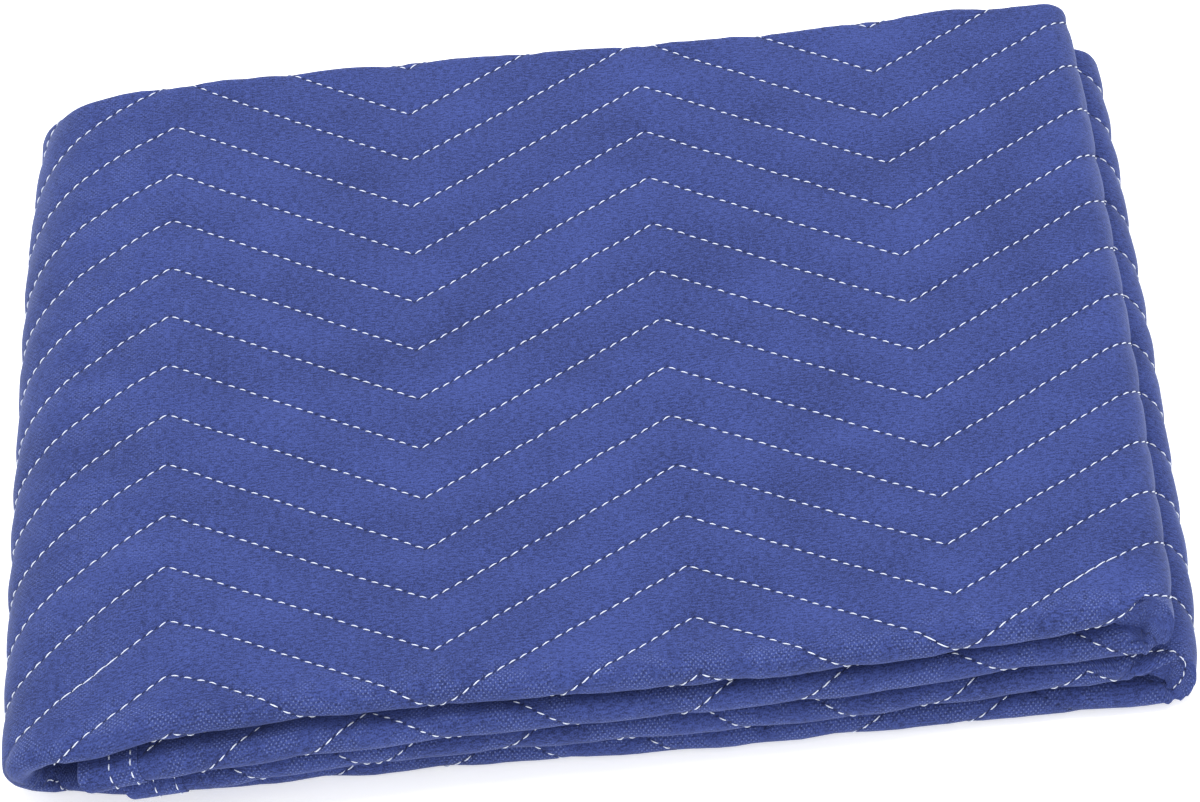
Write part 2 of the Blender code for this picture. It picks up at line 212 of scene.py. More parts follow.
PANEL_DEPTH = 324.0 * MM
FLAP_WIDTH = PANEL_DEPTH - FLAP_SETBACK
PANEL_START = FLAP_WIDTH + math.pi * LAYER_PITCH / 2
NOSE_START = PANEL_START + PANEL_DEPTH
LAST_FLAP_START = NOSE_START + math.pi * LAYER_PITCH
NOSE_LENGTH = LAST_FLAP_START - NOSE_START
CLOTH_WIDTH = LAST_FLAP_START + FLAP_WIDTH
print(f"cloth {CLOTH_LENGTH:.3f} m by {CLOTH_WIDTH:.3f} m")

# %% [markdown]
# ## From a flat cloth to a folded one
# Two functions do the folding, after four small helpers for steps, ranges and bells.  The first turns
# across into a y and a depth under the strip's outer face: flap, small back fold, outer panel, round
# front fold, flap.  The second carries that depth round the path and gives x and z.  A lift moves a point
# off the cloth's middle surface, which gives the cloth its two faces, the puffs between the quilting
# lines, the binding on top and the thread on top of that.

# %% Smooth steps, windows and bells
def smooth(value, low, high):
    """0 below low, 1 above high, and a smooth step between them: share squared times (3 less 2 shares)."""
    share = np.clip((value - low) / (high - low), 0, 1)
    return share**2 * (3 - 2 * share)


def window(value, comes, goes):
    """0, a smooth step up to 1 over the first range, and one down to 0 over the second."""
    return smooth(value, *comes) * (1 - smooth(value, *goes))


def between(value, low, high):
    """Whether a value lies between two others."""
    return (value > low) & (value < high)


def bell(value, middle, width):
    """e to the power of less the square of (value less middle) over width."""
    return np.exp(-(((value - middle) / width) ** 2))


print("half way up a step:", smooth(0.5, 0, 1))

# %% The fold tables, read along the path
SOFT_ALONG = 9 * MM


def fold_table(column):
    """Read one column of the fold tables along the whole path."""
    places, values = [], []
    for strip, rows in FOLDS.items():
        first, last = rows[0][0], rows[-1][0]
        for row in rows:
            places.append(STARTS[strip] + LENGTHS[strip] * abs(row[0] - first) / abs(last - first))
            values.append(row[column])
    return reader(places, values, SOFT_ALONG)


front_y, back_y = fold_table(1), fold_table(2)
TOP_MIDDLE = STARTS["A"] + LENGTHS["A"] / 2
print(f"the top strip is {back_y(TOP_MIDDLE) - front_y(TOP_MIDDLE):.3f} m deep at its middle")


# %% The section across the cloth
def section_point(along, across, lift):
    """(y, depth): a straight line on each panel, and on each fold a half circle.

    The angle on a half circle grows with across.  Its radius is half the distance between the two layers
    that it joins, plus the lift.
    """
    front, back = front_y(along), back_y(along)
    y = back + (front - back) * (across - PANEL_START) / PANEL_DEPTH
    depth = CLOTH_HALF - lift

    in_flap = across < FLAP_WIDTH
    y = np.where(in_flap, back - (back - front - FLAP_SETBACK) * (FLAP_WIDTH - across) / FLAP_WIDTH, y)
    depth = np.where(in_flap, CLOTH_HALF + LAYER_PITCH + lift, depth)

    in_back_fold = (across >= FLAP_WIDTH) & (across < PANEL_START)
    angle = math.pi * (across - FLAP_WIDTH) / (PANEL_START - FLAP_WIDTH)
    radius = LAYER_PITCH / 2 + lift
    y = np.where(in_back_fold, back + radius * np.sin(angle), y)
    depth = np.where(in_back_fold, CLOTH_HALF + LAYER_PITCH / 2 + radius * np.cos(angle), depth)

    in_nose = (across >= NOSE_START) & (across < LAST_FLAP_START)
    angle = math.pi * (across - NOSE_START) / NOSE_LENGTH
    radius = LAYER_PITCH + lift
    y = np.where(in_nose, front - radius * np.sin(angle), y)
    depth = np.where(in_nose, CLOTH_HALF + LAYER_PITCH - radius * np.cos(angle), depth)

    in_last = across >= LAST_FLAP_START
    last_y = front + (back - front - FLAP_SETBACK) * (across - LAST_FLAP_START) / FLAP_WIDTH
    y = np.where(in_last, last_y, y)
    depth = np.where(in_last, CLOTH_HALF + 2 * LAYER_PITCH + lift, depth)
    return y, depth


nose_y, nose_depth = section_point(TOP_MIDDLE, NOSE_START + NOSE_LENGTH / 2, CLOTH_HALF)
print(f"front fold's foremost point: y {nose_y:.4f}, {nose_depth:.4f} m under the strip's outer face")


# %% Level runs and bends
def run_ends(y):
    """x where each level run starts and stops: the bends' centres and the two bound ends."""
    upper = reach_x["upper turn"](y) - TURN_RADIUS
    lower = reach_x["lower turn"](y) - TURN_RADIUS
    left = reach_x["left wrap"](y) + WRAP_RADIUS
    return {
        "B": (reach_x["upper end"](y), upper),
        "A": (upper, left),
        "D": (left, lower),
        "C": (lower, reach_x["lower end"](y)),
    }


def stretches(along):
    """Each stretch of the path: its name, every place's share of it, and which places are on it."""
    for name, length in LENGTHS.items():
        share = (along - STARTS[name]) / length
        yield name, share, ((share >= 0) | (name == "B")) & ((share < 1) | (name == "C"))


def path_point(along, y, depth):
    """(x, z): level runs, and turns about a bend's centre at its radius less the depth."""
    runs = run_ends(y)
    heights = {
        "B": STACK_HEIGHT / 2 + STRIP_GAP / 2 + depth,
        "A": STACK_HEIGHT - depth,
        "D": depth,
        "C": STACK_HEIGHT / 2 - STRIP_GAP / 2 - depth,
    }
    # Each bend: the x and z of its centre, its outer radius and its first angle.
    bends = {
        "upper turn": (runs["A"][0], STACK_HEIGHT - TURN_RADIUS, TURN_RADIUS, -math.pi / 2),
        "left wrap": (runs["A"][1], WRAP_RADIUS, WRAP_RADIUS, math.pi / 2),
        "lower turn": (runs["D"][1], TURN_RADIUS, TURN_RADIUS, -math.pi / 2),
    }
    x, z = np.zeros(np.shape(along)), np.zeros(np.shape(along))
    for name, share, here in stretches(along):
        if name in runs:
            start, stop = runs[name]
            new_x, new_z = start + (stop - start) * share, heights[name]
        else:
            centre, middle, outer, first_angle = bends[name]
            angle = first_angle + math.pi * share
            new_x = centre + (outer - depth) * np.cos(angle)
            new_z = middle + (outer - depth) * np.sin(angle)
        x, z = np.where(here, new_x, x), np.where(here, new_z, z)
    return x, z


def height_scale(x, y):
    """The height over the plain stack's: a parabola up to the right, and a smooth step down to the left."""
    right = np.clip(0.5 + x / STACK_WIDTH, 0, 1) ** 2
    left = smooth((FALL_START[0] + FALL_START[1] * y - x) / FALL_REACH, 0, 1)
    return 1 + (SWELL + SWELL_BACK * y) * right - (FALL + FALL_BACK * y) * left


print(f"height at the right end {1e3 * STACK_HEIGHT * height_scale(UPPER_X, 0):.1f} mm")

# %% [markdown]
# ## Ears, a crumpled corner and slanted ends
# At the front of both right-hand bends there is more cloth than the turn needs.  It is drawn out into a
# flat slanting ear, with a dart above it and a crumpled pocket below.  Such a form could be sculpted by
# hand, but a formula that moves folded points takes the cloth, its binding and its thread along together.

# %% Sizes of the ears
EAR_BLEND = 16 * MM  # over which the strip's face joins an ear
EAR_SLOPE = 0.28  # how much an ear comes forward for each metre down,
EAR_BACK = 1.0 * MM  # and how far behind the fold it starts
EAR_POCKET = 4.0 * MM  # depth of the cloth under an ear's edge,
POCKET_FADE = 5 * MM  # and over how much height it fades
EAR_CRUMPLE = 1.1 * MM
EAR_CRUMPLE_PITCH = 5.6 * MM
EAR_CRUMPLE_WAY = (0.95, 0.3)  # out and up
EAR_CRUMPLE_PLACE = (-6 * MM, 5 * MM)  # over the edge, and its reach
DART_DEPTH = 1.6 * MM
DART_WAY = (0.8, 0.6)  # back and down
DART_PLACE, DART_WIDTH = 0.7 * MM, 0.8 * MM
RIDGE_PLACE, RIDGE_WIDTH, RIDGE_SHARE = -2 * MM, 1.6 * MM, 0.35
FOOT_FORWARD = 0.6  # of what it is pressed down
DART_EDGE = 0.4 * MM  # half the width over which the round fold turns into an ear's plane
EDGE_BLEND = 0.8 * MM  # half the width of an ear's lower edge,
EDGE_BLEND_LOW = 3.5 * MM  # and how much more it has close to the ground
STEEPER_OUT = 2.7 * MM  # out where an ear's edge may turn steeper
EDGE_HANG = 0.85 * MM
# Ranges over which each part comes or goes: along from the bend's start, then out and up, which are x and
# z from the bend's centre.
EAR_COMES = (-26 * MM, -18 * MM)
EAR_GOES = (TURN_LENGTH + 20 * MM, TURN_LENGTH + 26 * MM)
LOWER_HALF_COMES = (-2 * MM, 0.5 * MM)
POCKET_COMES = (-18 * MM, -10 * MM)
DART_COMES = (-15 * MM, -11 * MM)
DART_FADE = 5 * MM
SAG_COMES, SAG_GOES, SAG_LIMITS = (-15 * MM, -10 * MM), (0, 6 * MM), (-2 * MM, 6 * MM)
FOOT_COMES, FOOT_GOES = (-16 * MM, -2 * MM), (5 * MM, 13 * MM)
UP_SHARP, UP_DART, UP_FOOT = (-13 * MM, -7 * MM), (-10 * MM, -5 * MM), (-13 * MM, -5 * MM)
# Each ear: its bend and that bend's height, how far its side is tucked in and its foot pressed down, and
# the lines of its dart and of its lower edge, as slopes and places.
EARS = (
    {
        "bend": "upper turn",
        "height": STACK_HEIGHT - TURN_RADIUS,
        "tuck": 1.3 * MM,
        "foot": 2.2 * MM,
        "dart slope": 0.655,
        "dart place": 1.35 * MM,
        "dart stop": 0.0 * MM,
        "edge slope": 0.53,
        "edge place": -4.5 * MM,
        "steeper": 0.0,
    },
    {
        "bend": "lower turn",
        "height": TURN_RADIUS,
        "tuck": 0.7 * MM,
        "foot": 0.0 * MM,
        "dart slope": 0.30,
        "dart place": 4.5 * MM,
        "dart stop": 8.0 * MM,
        "edge slope": 0.67,
        "edge place": -1.5 * MM,
        "steeper": 1.6,
    },
)
print(len(EARS), "ears")


# %% Parts of an ear
def ear_pocket(out, up, over):
    """Depth under an ear's lower edge: a pocket that fades downwards, and a slanted wave of crumples."""
    off_ground = smooth(up + TURN_RADIUS, 4 * MM, 10 * MM)
    pocket = EAR_POCKET * np.exp(np.minimum(over, 0) / POCKET_FADE) * off_ground
    run = EAR_CRUMPLE_WAY[0] * out + EAR_CRUMPLE_WAY[1] * up
    wave = np.sin(2 * math.pi * run / EAR_CRUMPLE_PITCH)
    return pocket + EAR_CRUMPLE * wave * bell(over, *EAR_CRUMPLE_PLACE)


def ear_dart(ear, out, up, over, beyond):
    """Depth of the dart: a narrow valley along its line, with a low ridge twice as wide above it."""
    valley = window(out, DART_COMES, (ear["dart stop"] - DART_FADE, ear["dart stop"]))
    valley *= DART_DEPTH * smooth(over, -1 * MM, 1 * MM) * smooth(up, *UP_DART)
    ridge = RIDGE_SHARE * bell(beyond, RIDGE_PLACE, RIDGE_WIDTH)
    return valley * (bell(beyond, DART_PLACE, DART_WIDTH) - ridge)


def ear_sag(ear, out):
    """How far an ear's edge hangs down: less and less towards the bend's outer face."""
    sag = (EDGE_HANG - ear["edge place"] + ear["edge slope"] * out) * smooth(out, *SAG_COMES)
    return np.clip(sag, *SAG_LIMITS) * (1 - smooth(out, *SAG_GOES))


def pull_ears(along, across, x, y, z):
    """Press the front ends of the two right-hand bends into slanting ears.

    Under the dart and over the ear's lower edge the round fold becomes a plane that comes forward as it
    goes down.  Under that edge the cloth is sunk and crumpled.
    """
    past = across - NOSE_START
    gone = 1 - smooth(past, NOSE_LENGTH, NOSE_LENGTH + 10 * MM)
    round_share = np.sin(math.pi * np.clip(past / NOSE_LENGTH, 0, 1))
    for ear in EARS:
        start = STARTS[ear["bend"]]
        near = window(along - start, EAR_COMES, EAR_GOES)
        upper = along > start + TURN_LENGTH / 2
        out, up = x - (reach_x[ear["bend"]](y) - TURN_RADIUS), z - ear["height"]
        beyond = past + ear["dart slope"] * out - ear["dart place"]
        over = up + ear["edge slope"] * out - ear["edge place"]
        over = over + ear["steeper"] * np.maximum(out - STEEPER_OUT, 0)

        blend = EDGE_BLEND + EDGE_BLEND_LOW * (1 - smooth(up, *UP_SHARP))
        share = near * smooth(beyond, -DART_EDGE, DART_EDGE) * smooth(over, -blend, blend)
        share *= np.where(upper, 1, smooth(out, *LOWER_HALF_COMES))
        forward = EAR_SLOPE * (TURN_RADIUS - up) - EAR_BACK
        before = y - forward * smooth(past, -EAR_BLEND, 0)
        plane = np.where(past < 0, before, front_y(along) - forward)
        plane = np.where(past > NOSE_LENGTH, y - forward * gone, plane)

        under = near * round_share * smooth(out, *POCKET_COMES) * (1 - share)
        under *= np.where(upper, over < 0, 1)
        valley = near * ear_dart(ear, out, up, over, beyond)
        foot = near * round_share * window(out, FOOT_COMES, FOOT_GOES)
        foot *= ear["foot"] * (1 - smooth(up, *UP_FOOT)) * (1 - share)
        sag = ear_sag(ear, out) * share * smooth(past, 2 * MM, NOSE_LENGTH) * gone
        tuck = ear["tuck"] * smooth(past, -9 * MM, 2 * MM) * gone * near * smooth(out, 0, TURN_RADIUS)
        x = x - tuck
        y = y + share * (plane - y) + under * ear_pocket(out, up, over)
        y = y + DART_WAY[0] * valley - FOOT_FORWARD * foot
        z = z - DART_WAY[1] * valley - sag - foot
    return x, y, z


print("ears come forward by", round(EAR_SLOPE * 2 * TURN_RADIUS - EAR_BACK, 4), "m at their feet")

# %% The left corner and the bound ends
CORNER_CRUMPLE = 1.0 * MM
CORNER_CRUMPLE_PITCH = 4.6 * MM
CORNER_CRUMPLE_WAY = (0.90, -0.43)  # x and z
CORNER_CRUMPLE_SUNK = 0.4
END_SLANTS = (3.5 * MM, 2.0 * MM)  # how far the bound ends' front corners are drawn to the right
END_ROUNDING = 3.0 * MM
END_ROUNDED = 8 * MM  # of the cloth from its end


def crumple_corner(along, across, x, y, z):
    """Small folds squeezed up at the front of the left wrap's lower half: a slanted sine wave."""
    middle = STARTS["left wrap"] + LENGTHS["left wrap"] / 2
    here = window(along, (middle, middle + 12 * MM), (STARTS["D"] + 4 * MM, STARTS["D"] + 14 * MM))
    here *= window(across - NOSE_START, (7 * MM, 10 * MM), (NOSE_LENGTH, NOSE_LENGTH + 6 * MM))
    run = CORNER_CRUMPLE_WAY[0] * x + CORNER_CRUMPLE_WAY[1] * z
    wave = np.sin(2 * math.pi * run / CORNER_CRUMPLE_PITCH)
    return y + here * CORNER_CRUMPLE * (wave - CORNER_CRUMPLE_SUNK)


def slant_ends(along, across, x):
    """Draw the front corners of the two bound ends to the right, most at the very edge, and round them off.

    low is 0 at the top of a strip's front fold and 1 at its foot.
    """
    turned = np.clip((across - NOSE_START) / NOSE_LENGTH, 0, 1)
    front = smooth(across, NOSE_START - 25 * MM, NOSE_START - 5 * MM)
    ends = ((along, 1 - turned, END_SLANTS[0]), (CLOTH_LENGTH - along, turned, END_SLANTS[1]))
    for from_end, low, slant in ends:
        low = smooth(low, 0.1, 0.9) * front
        x = x + slant * low * (1 - smooth(from_end, 25 * MM, 60 * MM))
        x = x + END_ROUNDING * low**2 * np.clip(1 - from_end / END_ROUNDED, 0, 1) ** 2
    return x


print("bound ends drawn to the right by", [round(slant / MM, 1) for slant in END_SLANTS], "mm")


# %% The whole fold as one function
def folded(along, across, lift):
    """World points of the folded cloth: section, path, ends, ears, corner, then the frame's origin."""
    along, across, lift = np.broadcast_arrays(np.float64(along), np.float64(across), np.float64(lift))
    y, depth = section_point(along, across, lift)
    x, z = path_point(along, y, depth)
    x, y, z = pull_ears(along, across, slant_ends(along, across, x), y, z)
    y = crumple_corner(along, across, x, y, z)
    return np.stack([x - ORIGIN[0], y - ORIGIN[1], z * height_scale(x, y)], axis=-1)


corner = folded(STARTS["A"], NOSE_START, CLOTH_HALF)
print("front right corner of strip A:", np.round(corner, 4))

# %% [markdown]
# ## Relief of the cloth
# The padding stands up between the quilting lines and is pulled down along them.  Small puckers gather
# beside each line, and the cloth is never quite flat between.  All of it is a lift, given by formulas on
# the flat cloth, so that a line runs on round the folds without a break.

# %% Quilting, puckers and ripples
SQUARE_PLACE = 496.3 * MM  # the machine's across at y = 0
# Drift of the quilting from square on strip A, as a sum of powers: the powers of x and of y, then how
# much of that product the drift along has, and the drift across.
SQUARE_DRIFTS = (
    (1, 0, 0.0042, -0.0042),
    (2, 0, -0.028, 0.0),
    (1, 1, -0.091, -0.093),
    (0, 2, 0.055, 0.112),
)
# Further drift in the other strips: strip, share of its length, drift along and drift across in mm.
STRIP_DRIFTS = (
    ("B", 0.0, 2.4, 7.7),
    ("B", 0.5, 2.2, 5.2),
    ("B", 0.75, 1.1, 4.1),
    ("B", 0.90, 1.5, 4.5),
    ("B", 0.96, 1.8, 6.6),
    ("B", 1.0, 0.0, 7.5),
    ("upper turn", 0.5, 0.0, 1.5),
    ("A", 0.0, 0.0, 0.0),
    ("A", 1.0, 0.0, 0.0),
    ("left wrap", 0.5, 4.9, -2.5),
    ("D", 0.0, 6.9, 2.0),
    ("D", 0.12, 9.6, -5.2),
    ("D", 1.0, 8.0, -6.5),
    ("lower turn", 0.6, 7.0, -10.0),
    ("C", 0.0, 8.1, -9.1),
    ("C", 0.4, 6.3, -5.0),
    ("C", 1.0, 9.7, -2.6),
)
# The same for the last few centimetres before the front folds alone, where hands have pulled the cloth.
FRONT_DRIFTS = (
    ("upper turn", 0.6, 0.0, 0.0),
    ("A", 0.03, -0.8, 3.2),
    ("A", 0.12, -0.8, 2.1),
    ("A", 0.25, -1.8, 1.8),
    ("A", 0.41, 0.0, -0.3),
    ("A", 0.64, 0.5, 0.9),
    ("A", 0.86, 1.7, 0.4),
    ("A", 0.92, 0.4, -3.4),
    ("A", 0.97, -1.6, -5.5),
    ("left wrap", 0.10, 0.0, -4.0),
    ("left wrap", 0.35, -3.0, -2.0),
    ("left wrap", 0.82, -13.5, 4.1),
    ("D", 0.12, 0.0, 0.0),
    ("lower turn", 0.9, 0.0, 0.0),
    ("C", 0.045, 0.0, -12.0),
    ("C", 0.074, 0.0, 0.0),
    ("C", 0.14, 0.0, 0.0),
    ("C", 0.20, 0.0, -3.2),
    ("C", 0.38, 0.0, 0.0),
)
FRONT_COMES = (NOSE_START - 75 * MM, NOSE_START - 20 * MM)


def zigzag(along):
    """How far a line has moved to the front: 0 at a peak, ZIGZAG_HEIGHT half a period on."""
    phase = (along - PEAK_ALONG) / ZIGZAG_PERIOD
    return ZIGZAG_HEIGHT * 2 * np.abs(phase - np.round(phase))


def read_drifts(table, along):
    """The drift along and the drift across, each with straight lines between the table's rows."""
    places = [STARTS[strip] + share * LENGTHS[strip] for strip, share, _, _ in table]
    return [np.interp(along, places, [row[column] * MM for row in table]) for column in (2, 3)]


def quilt_place(along, across):
    """The quilting machine's own two coordinates of a place on the folded cloth.

    On strip A they are a constant less x and a constant less y, plus the drifts.  Past a fold or a bend
    they grow by the length of cloth that has gone round it.
    """
    front, back = front_y(along), back_y(along)
    panel = np.clip(across, PANEL_START, NOSE_START)
    y = back + (front - back) * (panel - PANEL_START) / PANEL_DEPTH
    runs = run_ends(y)
    real = LENGTHS | {name: abs(stop - start) for name, (start, stop) in runs.items()}
    reached = STARTS["A"] + UPPER_X - runs["A"][0] - TURN_LENGTH - real["B"]
    run = np.zeros(np.shape(along))
    for name, share, here in stretches(along):
        run = np.where(here, reached + real[name] * share, run)
        reached = reached + real[name]

    along_drift, across_drift = read_drifts(STRIP_DRIFTS, along)
    x = np.clip(STARTS["A"] + UPPER_X - run, LEFT_X, UPPER_X)
    for x_power, y_power, with_along, with_across in SQUARE_DRIFTS:
        product = x**x_power * y**y_power
        along_drift = along_drift + with_along * product
        across_drift = across_drift + with_across * product
    at_front = smooth(across, *FRONT_COMES)
    front_along, front_across = read_drifts(FRONT_DRIFTS, along)
    along_drift = along_drift + at_front * front_along
    across_drift = across_drift + at_front * front_across
    return run + along_drift, SQUARE_PLACE - y + across - panel + across_drift


def cloth_place(run, rise):
    """The reverse of quilt_place: along and across, by correcting a first guess a few times."""
    along, across = np.array(run, float), np.array(rise, float)
    for _ in range(12):
        made_run, made_rise = quilt_place(along, across)
        along += run - made_run
        across += rise - made_rise
    return along, across


def line_distance(along, across):
    """Distance to the nearest quilting line, and that line's number."""
    run, rise = quilt_place(along, across)
    line = (rise - zigzag(run) - PEAK_ACROSS) / QUILT_SPACING
    number = np.round(line)
    return np.abs(line - number) * QUILT_SPACING * math.cos(ZIGZAG_TURN), number


top_run, top_rise = quilt_place(TOP_MIDDLE, (PANEL_START + NOSE_START) / 2)
print(f"the top strip's middle is at {top_run:.4f}, {top_rise:.4f} m on the quilting machine")

# %% Puffs, puckers and ripples
LINE_WIDTH = 3.2 * MM
STITCH_SINK = 0.6 * MM
PUFF_RISE = 0.35 * MM
PUCKER_RISE = 0.10 * MM
PUCKER_PITCH = 9 * MM
PUCKER_REACH = 2.2 * LINE_WIDTH
PUCKER_CHANGE, PUCKER_CHANGE_PITCH = 0.8, 45 * MM
RIPPLES = ((0.16 * MM, 34 * MM, 5), (0.12 * MM, 17 * MM, 6))  # height, wavelength and seed


def ripple(along, across, wave, seed, count=14):
    """A sum of plane waves of about one wavelength in seeded random directions, about 1 high."""
    draw = np.random.default_rng(seed)
    turn, phase = draw.uniform(0, 2 * math.pi, (2, count))
    size = wave * draw.uniform(0.7, 1.5, count)
    total = np.zeros(np.shape(along))
    for one_turn, one_phase, one_size in zip(turn, phase, size):
        run = along * math.cos(one_turn) + across * math.sin(one_turn)
        total += np.sin(2 * math.pi * run / one_size + one_phase)
    return total / math.sqrt(count)


def pressed_share(along, across):
    """0 at the raw edges under the binding, and 1 from a little inside it."""
    edge = np.minimum.reduce([along, CLOTH_LENGTH - along, across, CLOTH_WIDTH - across])
    return np.clip((edge - PRESSED_EDGE) / EDGE_TAPER, 0, 1)


def near_front(across, reach):
    """1 on the front fold, falling to 0 over a reach of cloth on each side."""
    away = np.maximum(NOSE_START - across, across - LAST_FLAP_START)
    return np.clip(1 - away / reach, 0, 1)


def outer_lift(along, across):
    """Lift of the outer face: the cloth's half, puffs less sunk lines, puckers beside lines, and ripples.

    Puffs are a squared sine between two lines, a sunk line is a bell, and puckers are a sine along it.
    """
    distance, number = line_distance(along, across)
    middle = QUILT_SPACING * math.cos(ZIGZAG_TURN) / 2
    puff = PUFF_RISE * np.sin(0.5 * math.pi * distance / middle) ** 2
    sink = STITCH_SINK * bell(distance, 0, LINE_WIDTH)
    wave = np.sin(2 * math.pi * quilt_place(along, across)[0] / PUCKER_PITCH + 2.3 * number)
    pucker = PUCKER_RISE * bell(distance, 0, PUCKER_REACH) * wave
    pucker *= 1 + PUCKER_CHANGE * ripple(along, across, PUCKER_CHANGE_PITCH, seed=3)
    soft = sum(height * ripple(along, across, wavelength, seed) for height, wavelength, seed in RIPPLES)
    share = pressed_share(along, across)
    return EDGE_HALF + share * (CLOTH_HALF - EDGE_HALF + puff - sink + pucker + soft)


def inner_lift(along, across):
    """Lift of the inner face: the cloth's half, on the other side."""
    return -(EDGE_HALF + pressed_share(along, across) * (CLOTH_HALF - EDGE_HALF))


probe = outer_lift(np.linspace(0.5, 0.8, 400), np.full(400, 0.5))
print(f"outer face from {probe.min() / MM:.2f} to {probe.max() / MM:.2f} mm over the middle surface")

# %% [markdown]
# ## Creases placed one by one
# A blanket that has been folded before keeps old creases.  Each row is one crease on the top strip, as a
# line in plan with a height, or a depth where it is negative, and a width.  Its section is a bell, and it
# fades towards its two ends.

# %% Creases on the top strip: x, y of both ends, height and width
TOP_CREASES = (
    (0.076, 0.0085, 0.135, 0.0110, -0.55 * MM, 1.9 * MM),
    (0.128, 0.0105, 0.195, 0.0128, -0.60 * MM, 1.7 * MM),
    (0.080, 0.0125, 0.190, 0.0165, 0.30 * MM, 3.5 * MM),
    (0.024, 0.0210, 0.080, 0.0090, -0.30 * MM, 2.4 * MM),
    (-0.052, 0.0850, 0.008, 0.0690, -0.35 * MM, 2.6 * MM),
    (-0.144, 0.0090, -0.064, -0.0110, -0.35 * MM, 2.6 * MM),
    (-0.072, -0.0150, -0.048, -0.0270, -0.40 * MM, 2.0 * MM),
    (0.000, -0.0270, 0.048, -0.0390, -0.35 * MM, 2.4 * MM),
    (-0.072, -0.0910, 0.016, -0.1190, -0.45 * MM, 2.4 * MM),
    (-0.060, -0.0850, 0.006, -0.1030, 0.30 * MM, 3.0 * MM),
    (0.032, -0.0950, 0.056, -0.1590, -0.35 * MM, 2.6 * MM),
    (-0.008, -0.1390, 0.000, -0.1510, -0.40 * MM, 2.0 * MM),
    (0.136, 0.1130, 0.160, 0.0970, -0.35 * MM, 2.2 * MM),
    (0.132, 0.0610, 0.160, 0.0530, -0.40 * MM, 2.0 * MM),
    (0.148, -0.0790, 0.184, -0.0910, -0.40 * MM, 2.2 * MM),
)


def crease_lift(points, rows):
    """Lift from creases: height times a bell across the line, and a soft fall towards its ends."""
    total = np.zeros(points.shape[:-1])
    for x0, y0, x1, y1, height, width in rows:
        start, run = np.array([x0, y0]), np.array([x1 - x0, y1 - y0])
        length = np.hypot(*run)
        away = points[..., :2] - start
        share = away @ run / length**2
        off = (away[..., 0] * run[1] - away[..., 1] * run[0]) / length
        past = np.maximum(np.abs(share - 0.5) - 0.35, 0) / 0.15
        total += height * np.exp(-0.5 * (off / width) ** 2) * np.clip(1 - past**2, 0, 1)
    return total


print(len(TOP_CREASES), "creases")

# %% [markdown]
# ## Turning arrays into meshes
# Every piece below is a set of points on a grid.  These helpers put the arrays into a mesh, give each
# corner its place on the flat cloth as a UV, and file the piece under its body.


def quads(first, columns, rows, flip=False):
    """The faces of a grid of points stored column by column: each place with its three next ones."""
    index = first + np.arange(columns * rows).reshape(columns, rows)
    faces = np.stack([index[:-1, :-1], index[1:, :-1], index[1:, 1:], index[:-1, 1:]], axis=-1)
    faces = faces.reshape(-1, 4)
    return faces[:, ::-1] if flip else faces


def make_piece(name, points, faces, flat, attributes=None):
    """An object from points, faces and each point's place on the flat cloth, riding on the frame."""
    mesh = bpy.data.meshes.new(name)
    mesh.from_pydata(points.tolist(), [], faces)
    corner_point = np.empty(len(mesh.loops), np.int32)
    mesh.loops.foreach_get("vertex_index", corner_point)
    layer = mesh.uv_layers.new(name="cloth")
    layer.data.foreach_set("uv", flat[corner_point].astype(np.float32).ravel())
    for key, values in (attributes or {}).items():
        mesh.attributes.new(key, "FLOAT", "POINT").data.foreach_set("value", values.astype(np.float32))
    mesh.shade_smooth()
    mesh.validate()
    piece = bpy.data.objects.new(name, mesh)
    bpy.context.scene.collection.objects.link(piece)
    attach(piece, "root")
    mesh.calc_loop_triangles()
    print(f"{name}: {len(mesh.vertices)} points, {len(mesh.loop_triangles)} triangles")
    return piece


def spaced(*stretches):
    """Places along a length: each stretch is (start, stop, step), and the last place closes it."""
    places = []
    for start, stop, step in stretches:
        places.append(np.linspace(start, stop, max(2, round((stop - start) / step) + 1))[:-1])
    return np.concatenate(places + [[stretches[-1][1]]])


# %% [markdown]
# ## The cloth
# The outer face needs a fine grid on the top strip and round the bends, where it shows, and a coarse one
# on the other three strips.  The inner face is hidden, so it takes every fold's rows but few others.
# Its columns are the same as the outer face's, so the long edges close with plain quads, and the two
# short ends, under the binding, close with one many-cornered face for each inner row.

# %% The cloth's columns and rows
FINE, COARSE, BEND, CORNER = 2.6 * MM, 6.5 * MM, 2.1 * MM, 1.0 * MM
LOWER_WRAP = 1.2 * MM
EAR_END = 24 * MM  # of the strip after a right-hand bend
FLAP_STEP, EDGE_STEP, UNDER_STEP = 60 * MM, 12 * MM, 3 * MM
FRONT_ROWS = 14 * MM
UNDER_ROWS = 18 * MM
INNER_EVERY = 9


def cloth_columns():
    """Places along the cloth, fine on strip A and the bends."""
    steps = []
    for name, length in LENGTHS.items():
        start, stop = STARTS[name], STARTS[name] + length
        if name in ("A", "C"):
            steps.append((start, start + EAR_END, CORNER))
            steps.append((start + EAR_END, stop, FINE if name == "A" else COARSE))
        elif name == "left wrap":
            middle = (start + stop) / 2
            steps += [(start, middle, BEND), (middle, stop, LOWER_WRAP)]
        else:
            steps.append((start, stop, COARSE if name in ("B", "D") else CORNER))
    return spaced(*steps)


